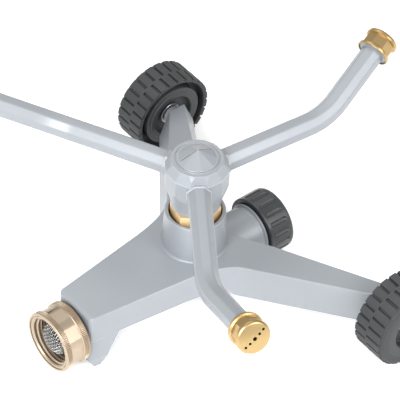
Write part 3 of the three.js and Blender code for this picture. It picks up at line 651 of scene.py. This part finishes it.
def makeStem():
    s = stemShape
    edge = s["edge"]
    form = turned([
        (s["bore"], s["front"]), (s["flange"] - edge, s["front"]), (s["flange"], s["front"] + edge),
        (s["flange"], s["flangeBack"] - edge), (s["flange"] - edge, s["flangeBack"]),
        (s["neck"], s["flangeBack"]), (s["neck"], s["neckBack"]), (s["collar"] - edge, s["neckBack"]),
        (s["collar"], s["neckBack"] + edge), (s["collar"], s["collarBack"] - edge),
        (s["collar"] - edge, s["collarBack"]), (s["tail"], s["collarBack"]), (s["tail"], s["back"]),
        (s["bore"], s["back"])], 64)
    return piece("inletStem", form, "coupling_brass", "base", ["inlet_stem"], hoseLine() @ alongY)


def domeHeight(radius):
    s = inletShape
    share = min(1.0, max(0.0, radius / s["dome"]))
    return s["domeHeight"] * math.sqrt(max(0.0, 1 - share ** (2 / s["fullness"])))


def makeScreen():
    # wires laid over the dome in two directions, each passing over and under the ones it crosses
    s = inletShape
    whole = bmesh.new()
    pitch, lift = s["wirePitch"], s["wireRadius"] * 0.85
    count = int(s["dome"] / pitch)
    for turn in (0, math.pi / 2):
        quarter = Matrix.Rotation(turn, 4, "Z")
        for row in range(-count, count + 1):
            offset = row * pitch
            reach = math.sqrt(max(0.0, s["dome"] ** 2 - offset ** 2))
            steps = max(4, round(4 * reach / pitch))
            ring = bmesh.ops.create_circle(whole, cap_ends=True, segments=6, radius=s["wireRadius"])["verts"]
            phase = row * math.pi + (math.pi if turn else 0)
            path = []
            for k in range(steps + 1):
                x = -reach + 2 * reach * k / steps
                wave = lift * math.cos(math.pi * x / pitch + phase)
                path.append(Vector((x, offset, domeHeight(math.hypot(x, offset)) + wave)))
            bmesh.ops.transform(whole, verts=ring, matrix=Matrix.Translation(path[0]) @ alongX)
            made = list(ring)
            cap = next(f for f in ring[0].link_faces)
            for before, after in zip(path, path[1:]):
                cap = pushed(whole, cap, after - before)
                made += list(cap.verts)
            bmesh.ops.transform(whole, verts=made, matrix=quarter)
    outward(whole)
    thick = s["screenBack"] - s["screenFront"]
    rim = turned([(s["dome"] - 0.5, -thick), (s["screenRim"], -thick), (s["screenRim"], -0.1),
                  (s["screenRim"] - 0.2, 0), (s["dome"], 0), (s["dome"] - 0.5, -0.2)], 64)
    place = hoseLine(s["screenFront"]) @ Matrix.Rotation(math.radians(90), 4, "X")
    form = joined([whole, rim])
    return piece("inletScreen", form, "mesh_steel", "hose_swivel", ["inlet_screen"], place, crease=70)


def makeWasher(name, node, shape, slot, body, place):
    form = tube(shape["inner"], shape["outer"], shape["low"], shape["high"])
    return piece(name, form, slot, body, [node], place)


makeCoupling()
makeStem()
makeScreen()
inletWasherShape = {"inner": 6.6, "outer": 13.1, "low": -89.8, "high": -87.3}
makeWasher("inletWasher", "inlet_washer", inletWasherShape, "black_rubber", "hose_swivel",
           hoseLine() @ alongY)
print("inlet made")


capShape = {"start": 40.7, "length": 15.7, "radius": 17.55, "flutes": 18, "fluteRadius": 1.9,
            "fluteSunk": 0.9, "fluteStart": 1.5, "fluteEnd": 12.9, "mouthEdge": 0.5, "rounding": 2.0,
            "bore": 13.6, "floor": 3.2, "dish": 12.2, "dishDepth": 0.5}


def makeOutletCap():
    s = capShape
    radius, length = s["radius"], s["length"]
    bend, edge = s["rounding"], s["mouthEdge"]
    dished = length - s["dishDepth"]
    nearAxis = 0.001  # a profile that doesn't start on the axis closes on itself, so this one stops short
    solid = turned([
        (s["bore"], length - s["floor"]), (s["bore"], 0.3), (s["bore"] + 0.3, 0),
        *arc((radius - edge, edge), edge, -90, 0, 4), *arc((radius - bend, length - bend), bend, 0, 90, 8),
        (s["dish"] + 0.4, length), (s["dish"], dished), (nearAxis, dished),
        (nearAxis, length - s["floor"])], 144)
    flutes = []
    for k in range(s["flutes"]):
        reach = s["fluteRadius"]
        groove = turned([*arc((0, s["fluteStart"] + reach), reach, -90, 0, 6),
                         *arc((0, s["fluteEnd"] - reach), reach, 0, 90, 6)], 24)
        turn = Matrix.Rotation(2 * math.pi * k / s["flutes"], 4, "Z")
        flutes.append(moved(groove, turn @ Matrix.Translation((radius + s["fluteSunk"], 0, 0))))
    body = combined(solid, joined(flutes), how="DIFFERENCE")
    place = hoseLine(s["start"]) @ alongY
    return piece("outletCap", body, "cap_plastic", "outlet_cap", ["outlet_cap"], place, crease=35)


makeOutletCap()
print("outlet cap made")


# the brass stem that stands in the boss's cup
pivotShape = {"corner": 13.5, "bottom": 48.6, "top": 64.4, "chamfer": 1.1, "chamferHeight": 0.7,
              "post": 6.2, "postTop": 90.4, "thread": 7.6, "threadBottom": 36, "tip": 3.5, "tipTop": 98,
              "bore": 4.4, "boreTop": 88.4}
thrustWasherShape = {"inner": 6.5, "outer": 10.2, "low": 64.7, "high": 65.7}


def makePivotStem():
    s = pivotShape
    slope = s["chamferHeight"]
    crown = turned([(0, s["bottom"]), (s["corner"] - s["chamfer"], s["bottom"]),
                    (s["corner"], s["bottom"] + slope), (s["corner"], s["top"] - slope),
                    (s["corner"] - 2.0, s["top"]), (0, s["top"])], 96)
    flats = prism(6, s["corner"], s["bottom"] - 1, s["top"] + 1, math.pi / 12)
    hexagon = combined(flats, crown, how="INTERSECT")
    shank = s["bottom"] + 1
    post = turned([(0, s["threadBottom"]), (s["thread"], s["threadBottom"]), (s["thread"], shank),
                   (s["post"], shank), (s["post"], s["postTop"]), (s["tip"], s["postTop"]),
                   (s["tip"], s["tipTop"] - 0.4), (s["tip"] - 0.4, s["tipTop"]), (0, s["tipTop"])], 48)
    body = combined(hexagon, post)
    body = combined(body, rod(s["bore"], s["threadBottom"] - 1, s["boreTop"], 48), how="DIFFERENCE")
    # the stem takes the brightened brass copy, which paints light onto it in the shaded cup
    return piece("pivotStem", body, "gold_brass", "base", ["pivot_stem"], crease=25, finish="stem_brass_painted_bright")


makePivotStem()
makeWasher("lowerThrustWasher", "lower_thrust_washer", thrustWasherShape, "white_nylon", "base", upright)
print("pivot stem made")


# the rotor's hub and its pointed cap; the arms' collars lie along armFrame
rotorShape = {"sides": 12, "flats": 16.6, "round": 17.3, "skirtBottom": 65.8, "facetBottom": 82.2,
              "facetTop": 91.4, "rounding": 0.55, "bushingBore": 8.5, "cavity": 10.4, "cavityLow": 79.8,
              "cavityTop": 91.8, "stemHole": 3.8, "capSeat": 9.4, "capSeatFloor": 93.4,
              "bevelTop": 97.2, "bevelRadius": 13.8, "groove": 12.0, "collar": 6.6, "collarStart": 12.5,
              "collarFace": 16.9, "collarEnd": 17.4, "coneBase": 97.4, "cone": 10.9, "apex": 103.4,
              "ridges": (-26, 13, 49, 87, 129, 171, 212, 254, 276, 304), "scored": (87, 254),
              "score": 0.3, "scoreDepth": 1.2, "plug": 9.2, "plugBottom": 94.7, "hollow": 6.6,
              "hollowTop": 98.3}
armFirst = math.radians(-35)
arms = 3


def makeRotorHub():
    s = rotorShape
    toCorner = 1 / math.cos(math.pi / s["sides"])
    top, rounding, groove = s["bevelTop"], s["rounding"], s["groove"]
    edge = s["bevelRadius"] * 1.03  # just past the facets' upper corners
    flare = [(13.3, s["skirtBottom"] + 0.3), (13.45, 68.6), (13.9, 70.6), (14.6, 73.2), (15.6, 76.4),
             (16.5, 79.2)]
    form = turned([
        (s["bushingBore"], s["skirtBottom"]), (13, s["skirtBottom"]), *flare, (s["round"], s["facetBottom"]),
        (s["round"], s["facetTop"] + 0.4), (edge, top - rounding),
        *arc((edge - rounding, top - rounding), rounding, 20, 90),
        (groove + 0.25, top), (groove, top - 0.4), (groove - 0.45, top - 0.4), (groove - 0.7, top),
        (s["capSeat"], top), (s["capSeat"], s["capSeatFloor"]), (s["stemHole"], s["capSeatFloor"]),
        (s["stemHole"], s["cavityTop"]), (s["cavity"], s["cavityTop"]), (s["cavity"], s["cavityLow"]),
        (s["bushingBore"], s["cavityLow"])], 144)
    facets = prism(s["sides"], s["flats"] * toCorner, s["skirtBottom"] - 1, s["facetTop"],
                   armFirst + math.pi / s["sides"])
    crown = max(facets.faces, key=lambda f: f.calc_center_median().z)
    grown = bmesh.ops.extrude_face_region(facets, geom=[crown])["geom"]
    slope = (s["flats"] - s["bevelRadius"]) / (top - s["facetTop"])
    ratio = (s["bevelRadius"] - slope) / s["flats"]
    for vert in cornersOf(grown):
        vert.co = (vert.co.x * ratio, vert.co.y * ratio, top + 1)
    outward(facets)
    body = combined(form, facets, how="INTERSECT")
    collars = []
    for k in range(arms):
        corner = s["collar"] / math.cos(math.pi / 8)
        collar = prism(8, corner, s["collarStart"], s["collarFace"], math.pi / 8)
        face = max(collar.faces, key=lambda f: f.calc_center_median().z)
        grown = bmesh.ops.extrude_face_region(collar, geom=[face])["geom"]
        ratio = armShape["flats"] / 2 / s["collar"]
        for vert in cornersOf(grown):
            vert.co = (vert.co.x * ratio, vert.co.y * ratio, s["collarEnd"])
        softened(collar, 0.3, segments=3, above=30,
                 only=lambda e: all(abs(v.co.z - s["collarFace"]) < 0.01 for v in e.verts))
        collars.append(moved(collar, armFrame(k) @ alongX))
    body = combined(body, *collars)
    return piece("rotorHub", body, "silver_paint", "rotor", ["rotor_hub"], crease=2)


def makeTopCap():
    # a low faceted point; two of its ridges are scored
    s = rotorShape
    base = s["coneBase"]
    plug = turned([(0, s["plugBottom"]), (s["plug"], s["plugBottom"]), (s["plug"], base),
                   (s["cone"] - 0.15, base), (s["cone"] + 0.05, base + 0.2),
                   (s["cone"] - 0.1, base + 0.4), (0, base + 0.4)], 96)
    point = bmesh.new()
    turns = [math.radians(a) for a in s["ridges"]]
    ring = [point.verts.new((s["cone"] * math.cos(a), s["cone"] * math.sin(a), base + 0.2))
            for a in turns]
    tip = point.verts.new((0, 0, s["apex"]))
    for near, far in zip(ring, ring[1:] + ring[:1]):
        point.faces.new((near, far, tip))
    point.faces.new(ring)
    outward(point)
    body = combined(plug, point)
    hollow = turned([(0, s["plugBottom"] - 0.7), (s["hollow"], s["plugBottom"] - 0.7), (s["hollow"], base),
                     (s["hollow"] - 2.5, s["hollowTop"]), (0, s["hollowTop"])], 48)
    slope = math.atan2(s["apex"] - base - 0.2, s["cone"])
    scores = []
    for a in s["scored"]:
        cut = prism(4, s["score"] * math.sqrt(2), 0.2, s["cone"] * 0.97, math.pi / 4)
        moved(cut, Matrix.Scale(s["scoreDepth"] / s["score"], 4, (1, 0, 0)))
        lie = Matrix.Rotation(math.radians(a), 4, "Z") @ Matrix.Rotation(slope, 4, "Y") @ alongX
        scores.append(moved(cut, Matrix.Translation((0, 0, s["apex"])) @ lie))
    body = combined(body, hollow, *scores, how="DIFFERENCE")
    return piece("rotorTopCap", body, "silver_paint", "rotor", ["rotor_top_cap"], crease=8)


# the arms and their nozzle caps
armShape = {"height": 87, "droop": math.radians(-1.5), "flats": 12, "rounding": 0.7, "start": 16.75,
            "toBend": 82.2, "bend": math.radians(28.25), "twist": math.radians(46.9), "bendRadius": 47,
            "bendSteps": 14, "toFace": 57.7, "flange": 8.3, "flangeAt": -11.7, "flangeWidth": 1,
            "flangeEdge": 0.25, "thread": 6.7, "threadEnd": -5.1, "tenon": 5.1, "tenonStart": 11.5}
nozzleShape = {"length": 12.2, "rim": 9.3, "rimWidth": 1.8, "rimEdge": 0.35, "body": 8.45, "bodyFlats": 7.8,
               "sides": 8, "disc": 9.15, "discStart": -3.9, "round": 1.9, "dome": 0.75, "wall": 3.0,
               "bore": 7.0, "mouth": 8.5, "mouthDepth": 1.9,
               "holes": (-6.3, -3.4, 0, 3.4, 6.3), "hole": 0.75, "mainHole": 1.1, "tilt": math.radians(39)}


def armFrame(k):
    s = armShape
    turn = Matrix.Rotation(armFirst + 2 * math.pi * k / arms, 4, "Z")
    return Matrix.Translation((0, 0, s["height"])) @ turn @ Matrix.Rotation(-s["droop"], 4, "Y")


def bendAxis():
    return Vector((0, -math.sin(armShape["twist"]), math.cos(armShape["twist"])))


def bendCentre():
    s = armShape
    trim = s["bendRadius"] * math.tan(s["bend"] / 2)
    towards = Vector((0, math.cos(s["twist"]), math.sin(s["twist"])))
    return trim, Vector((s["toBend"] - trim, 0, 0)) + towards * s["bendRadius"]


def nozzleFrame(k):
    # +X along the arm's end, with the origin at the nozzle's face
    s = armShape
    trim, centre = bendCentre()
    turn = Matrix.Rotation(s["bend"], 4, bendAxis())
    last = centre + turn.to_3x3() @ (Vector((s["toBend"] - trim, 0, 0)) - centre)
    last += turn.to_3x3() @ Vector((s["toFace"] - trim, 0, 0))
    return armFrame(k) @ Matrix.Translation(last) @ turn


makeRotorHub()
makeTopCap()
print("rotor hub made")


def armTube(k):
    s = armShape
    bm = bmesh.new()
    corner = s["flats"] / 2 / math.cos(math.pi / 8)
    bmesh.ops.create_circle(bm, cap_ends=True, segments=8, radius=corner)
    bmesh.ops.rotate(bm, verts=bm.verts, cent=(0, 0, 0), matrix=Matrix.Rotation(math.pi / 8, 3, "Z"))
    bmesh.ops.bevel(bm, geom=bm.verts[:], offset=s["rounding"], offset_type="OFFSET", segments=3, profile=0.5,
                    affect="VERTICES", clamp_overlap=True, material=-1)
    bm.transform(Matrix.Translation((s["start"], 0, 0)) @ alongX)
    trim, centre = bendCentre()
    outwards = Matrix.Rotation(s["bend"], 3, bendAxis()) @ Vector((1, 0, 0))
    end = max(bm.faces, key=lambda f: (len(f.verts), f.calc_center_median().x))
    cap = pushed(bm, end, Vector((s["toBend"] - trim - s["start"], 0, 0)))
    spun = bmesh.ops.spin(bm, geom=[cap], cent=centre, axis=bendAxis(), dvec=(0, 0, 0), angle=s["bend"],
                          steps=s["bendSteps"], use_merge=False)["geom_last"]
    pushed(bm, facesOf(spun)[0], outwards * (s["toFace"] - trim + s["flangeAt"] + 0.5))
    inner = [f for f in bm.faces if all(len(e.link_faces) > 2 for e in f.edges)]
    bmesh.ops.delete(bm, geom=inner, context="FACES_ONLY")
    outward(bm)
    return moved(bm, armFrame(k))


def makeArm(k):
    s = armShape
    root = moved(rod(s["tenon"], s["tenonStart"], s["start"] + 1, 48), armFrame(k) @ alongX)
    start, edge = s["flangeAt"], s["flangeEdge"]
    end = start + s["flangeWidth"]
    flange = turned([(0, start), (s["flange"] - edge, start), (s["flange"], start + edge),
                     (s["flange"], end), (s["thread"], end), (s["thread"], s["threadEnd"]),
                     (0, s["threadEnd"])], 64)
    body = combined(armTube(k), root, moved(flange, nozzleFrame(k) @ alongX))
    return piece(f"sprayArm{k + 1}", body, "silver_paint", "rotor", [f"arm_{k + 1}"], crease=18)


def makeNozzle(k):
    s = nozzleShape
    length = s["length"]
    edge = s["rimEdge"]
    rimEnd = s["rimWidth"] - length
    rim = turned([(0, -length), *arc((s["rim"] - edge, edge - length), edge, -90, 0, 4),
                  *arc((s["rim"] - edge, rimEnd - edge), edge, 0, 80, 4),
                  (s["body"] - 0.1, rimEnd + 0.5), (0, rimEnd + 0.5)], 96)
    corner = s["bodyFlats"] / math.cos(math.pi / s["sides"])
    waist = combined(prism(s["sides"], corner, 1 - length, s["discStart"] + 0.5),
                     rod(s["body"], -length, 0, 96), how="INTERSECT")
    shoulder = (s["disc"] - s["round"], -s["dome"] - s["round"])
    dome = [(s["disc"] * share, -s["dome"] * (share / 0.8) ** 2) for share in (0.65, 0.5, 0.35, 0.2, 0)]
    disc = turned([(0, s["discStart"]), (s["body"] - 0.4, s["discStart"]), (s["disc"], s["discStart"] + 0.4),
                   *arc(shoulder, s["round"], 0, 72, 8), *dome], 96)
    shell = combined(rim, waist, disc)
    counterbore = s["mouthDepth"] - length
    inside = turned([(0, -s["wall"]), (s["bore"] - 0.3, -s["wall"]), (s["bore"], -s["wall"] - 0.3),
                     (s["bore"], counterbore), (s["mouth"], counterbore), (s["mouth"], -length - 1),
                     (0, -length - 1)], 64)
    drills = []
    for offset in s["holes"]:
        drill = rod(s["mainHole"] if offset == 0 else s["hole"], -s["wall"] - 1, 1, 20)
        across, up = offset * math.cos(s["tilt"]), offset * math.sin(s["tilt"])
        # drawn up +Z and turned to +X: local -X becomes +Z
        drills.append(moved(drill, Matrix.Translation((-up, across, 0))))
    body = combined(shell, inside, joined(drills), how="DIFFERENCE")
    place = nozzleFrame(k) @ alongX
    return piece(f"nozzleCap{k + 1}", body, "gold_brass", f"nozzle_cap_{k + 1}", [f"nozzle_{k + 1}"], place,
                 crease=24)


for index in range(arms):
    makeArm(index)
    makeNozzle(index)
print("arms and nozzles made")


# the wheels are drawn up +Z, with 0 at the inner face
wheelShape = {"inner": 91.3, "width": 20.2, "radius": 24.6, "block": 24.5, "valley": 23.1, "blocks": 25,
              "blockShare": 0.8, "blockEdge": 0.16, "shoulderRadius": 23.6, "shoulderRound": 2.3,
              "centreRib": 0.9, "shoulder": 3.0, "band": 21.9, "webStart": 6.1, "disc": 18.3,
              "innerRecess": 12, "innerDepth": 3.6, "ridge": 15.4, "outerRecess": 13, "outerDepth": 6,
              "pin": 3.09, "pinShaft": 3, "pinStart": 83.5, "pinHead": 5.4, "washerBore": 3.2,
              "washer": 6.4, "washerThick": 0.9, "washerGap": 0.3}


def makeTyre():
    s = wheelShape
    width = s["width"]
    middle = (width - s["shoulder"]) / 2
    rib, valley, bend = s["centreRib"], s["valley"], s["shoulderRound"]
    carcass = turned([
        (s["disc"] + 0.3, s["webStart"]), (s["band"] - 0.5, s["webStart"]), (s["band"], s["webStart"] - 0.5),
        (s["band"], 0.3), (s["band"] + 0.3, 0), (valley - 0.2, 0), (valley, 0.2),
        (valley, middle - rib / 2 - 0.1), (s["radius"] - 0.15, middle - rib / 2),
        (s["radius"], middle - rib / 4), (s["radius"], middle + rib / 4),
        (s["radius"] - 0.15, middle + rib / 2), (valley, middle + rib / 2 + 0.1),
        (valley, width - s["shoulder"] - 0.05), (s["shoulderRadius"] - 0.1, width - s["shoulder"]),
        *arc((s["shoulderRadius"] - bend, width - 0.05 - bend), bend, 0, 84, 8),
        (s["disc"] + 0.02, width - 0.05)], 150)

    def onCrest(edge):
        return min(v.co.to_2d().length for v in edge.verts) > valley + 0.1

    halfPitch = math.pi / s["blocks"]
    rows = []
    for low, high, phase in ((0.05, middle - 0.3, 0), (middle + 0.3, width - s["shoulder"] + 1.5, halfPitch)):
        row = toothed(s["blocks"], s["block"], valley - 0.3, low, high, s["blockShare"], 15, phase)
        softened(row, s["blockEdge"], segments=2, above=35, only=onCrest)
        rows.append(combined(row, rod(s["band"] + 0.3, low - 1, high + 1, 96), how="DIFFERENCE"))
    return combined(carcass, *rows)


def makeWheelHub():
    s = wheelShape
    width = s["width"]
    floor = width - s["outerDepth"]
    inner, outer, disc, depth = s["innerRecess"], s["outerRecess"], s["disc"], s["innerDepth"]
    return turned([
        (s["pin"], depth), (inner - 1.4, depth), (inner - 1.1, depth - 0.4), (inner - 0.4, depth - 0.4),
        (inner, depth - 0.8), (inner + 0.3, 0.7), (inner + 0.9, 0), (s["ridge"], 0),
        (s["ridge"] + 0.2, 0.3), (disc - 0.7, 0.3), (disc - 0.2, 0.6), (disc, 1.1),
        (disc, width - 0.05), (outer + 0.8, width - 0.05), (outer + 0.2, width - 0.5), (outer, width - 1),
        (outer - 0.3, floor + 0.8), (outer - 1, floor), (s["pin"], floor)], 96)


def makeAxlePin():
    s = wheelShape
    # a domed head that clears the outer washer by one gap
    head = s["inner"] + s["width"] - s["outerDepth"] + s["washerThick"] + 2 * s["washerGap"]
    shaft, reach = s["pinShaft"], s["pinHead"]
    return turned([
        (0, s["pinStart"]), (shaft, s["pinStart"]), (shaft, head), (reach - 0.2, head), (reach, head + 0.2),
        (reach, head + 1.3), (reach - 0.5, head + 2.0), (reach - 1.6, head + 2.45), (2.2, head + 2.6),
        (0, head + 2.6)], 64)


def axleWasher(low):
    s = wheelShape
    return {"inner": s["washerBore"], "outer": s["washer"], "low": low, "high": low + s["washerThick"]}


for side, flip in (("right", upright), ("left", mirrorX)):
    s = wheelShape
    axle = flip @ Matrix.Translation((0, baseShape["tipY"], baseShape["axleHeight"])) @ alongX
    wheel = axle @ Matrix.Translation((0, 0, s["inner"]))
    body = f"{side}_wheel"
    piece(f"{side}Tyre", makeTyre(), "tyre_rubber", body, [f"{side}_tyre"], wheel, crease=28)
    piece(f"{side}WheelHub", makeWheelHub(), "wheel_plastic", body, [f"{side}_wheel_hub"], wheel)
    piece(f"{side}AxlePin", makeAxlePin(), "steel", "base", [f"{side}_axle_pin"], axle)
    near = axleWasher(s["inner"] + s["innerDepth"] - s["washerGap"] - s["washerThick"])
    far = axleWasher(s["inner"] + s["width"] - s["outerDepth"] + s["washerGap"])
    makeWasher(f"{side}AxleWasher", f"{side}_axle_washer", near, "steel", "base", axle)
    makeWasher(f"{side}OuterWasher", f"{side}_outer_washer", far, "steel", "base", axle)
print("wheels made")


# the seals, bushing and nut keep their CAD meshes and take a finish
for part in frame["record"]["subparts"]:
    node = frame["nodes"][part["node"]]
    node.data.materials.clear()
    node.data.materials.append(finishes[part["material_slot"]])


stageValues = {"floorSize": 6, "floorColour": (0.93, 0.93, 0.93), "floorGlow": 0.28, "worldBright": 1.15,
               "worldDim": 0.62, "worldStrength": 0.85, "glowElevation": -20}
cameraValues = {"azimuth": 49.24, "elevation": 44.94, "roll": 2.47, "distance": 1.6937, "lens": 288.8,
                "aimHeight": 0.05, "aimRight": 0.00222, "aimUp": 0.01186}
lightValues = {
    "key": {"azimuth": 22, "elevation": 38, "distance": 1.3, "size": 0.6, "power": 17},
    "fill": {"azimuth": 106, "elevation": 36, "distance": 1.4, "size": 0.7, "power": 11},
    "back": {"azimuth": 250, "elevation": 60, "distance": 1.3, "size": 0.9, "power": 3},
}


def directionFrom(azimuth, elevation):
    a, e = math.radians(azimuth), math.radians(elevation)
    return Vector((math.sin(a) * math.cos(e), -math.cos(a) * math.cos(e), math.sin(e)))


def makeFloor():
    bm = bmesh.new()
    bmesh.ops.create_grid(bm, x_segments=1, y_segments=1, size=stageValues["floorSize"] / 2)
    floor = meshObject("floor", bm)
    paper = bpy.data.materials.new("palePaper")
    paper.use_nodes = True
    shader = paper.node_tree.nodes["Principled BSDF"]
    shader.inputs["Base Color"].default_value = (*stageValues["floorColour"], 1)
    shader.inputs["Roughness"].default_value = 0.9
    shader.inputs["Specular IOR Level"].default_value = 0.1
    shader.inputs["Emission Color"].default_value = (1, 1, 1, 1)
    shader.inputs["Emission Strength"].default_value = stageValues["floorGlow"]
    floor.data.materials.append(paper)


def makeCamera():
    v = cameraValues
    back = directionFrom(v["azimuth"], v["elevation"])
    right = Vector((0, 0, 1)).cross(back).normalized()
    up = back.cross(right)
    aim = Vector((rotorAxis.x, rotorAxis.y, v["aimHeight"])) + v["aimRight"] * right + v["aimUp"] * up
    level = Matrix((right, up, back)).transposed().to_4x4()
    camera = bpy.data.objects.new("camera", bpy.data.cameras.new("camera"))
    camera.data.lens = v["lens"]
    camera.data.sensor_width = 36
    camera.data.clip_start, camera.data.clip_end = 0.1, 20
    camera.matrix_world = (Matrix.Translation(aim + back * v["distance"]) @ level
                           @ Matrix.Rotation(math.radians(v["roll"]), 4, "Z"))
    bpy.context.scene.collection.objects.link(camera)
    bpy.context.scene.camera = camera


def makeLights():
    target = Vector((rotorAxis.x, rotorAxis.y, 0.04))
    for name, v in lightValues.items():
        light = bpy.data.lights.new(name, "AREA")
        light.size = v["size"]
        light.energy = v["power"]
        lamp = bpy.data.objects.new(name, light)
        away = directionFrom(v["azimuth"], v["elevation"])
        facing = away.to_track_quat("Z", "Y").to_matrix().to_4x4()
        lamp.matrix_world = Matrix.Translation(target + away * v["distance"]) @ facing
        bpy.context.scene.collection.objects.link(lamp)


def makeWorld():
    # a pale studio, brighter towards the key light's side
    v = stageValues
    world = bpy.data.worlds.new("paleStudio")
    world.use_nodes = True
    bpy.context.scene.world = world
    tree = world.node_tree
    background = tree.nodes["Background"]
    background.inputs["Strength"].default_value = v["worldStrength"]
    place = tree.nodes.new("ShaderNodeTexCoord")
    towards = tree.nodes.new("ShaderNodeVectorMath")
    towards.operation = "DOT_PRODUCT"
    key = lightValues["key"]
    towards.inputs[1].default_value = directionFrom(key["azimuth"], v["glowElevation"])
    tree.links.new(place.outputs["Generated"], towards.inputs[0])
    spread = tree.nodes.new("ShaderNodeMapRange")
    spread.inputs["From Min"].default_value = -0.6
    spread.inputs["From Max"].default_value = 1.0
    spread.inputs["To Min"].default_value = v["worldDim"]
    spread.inputs["To Max"].default_value = v["worldBright"]
    tree.links.new(towards.outputs["Value"], spread.inputs["Value"])
    tree.links.new(spread.outputs["Result"], background.inputs["Color"])


makeFloor()
makeCamera()
makeLights()
makeWorld()
bpy.context.scene.view_settings.view_transform = "Standard"
print("stage, camera and lights made")
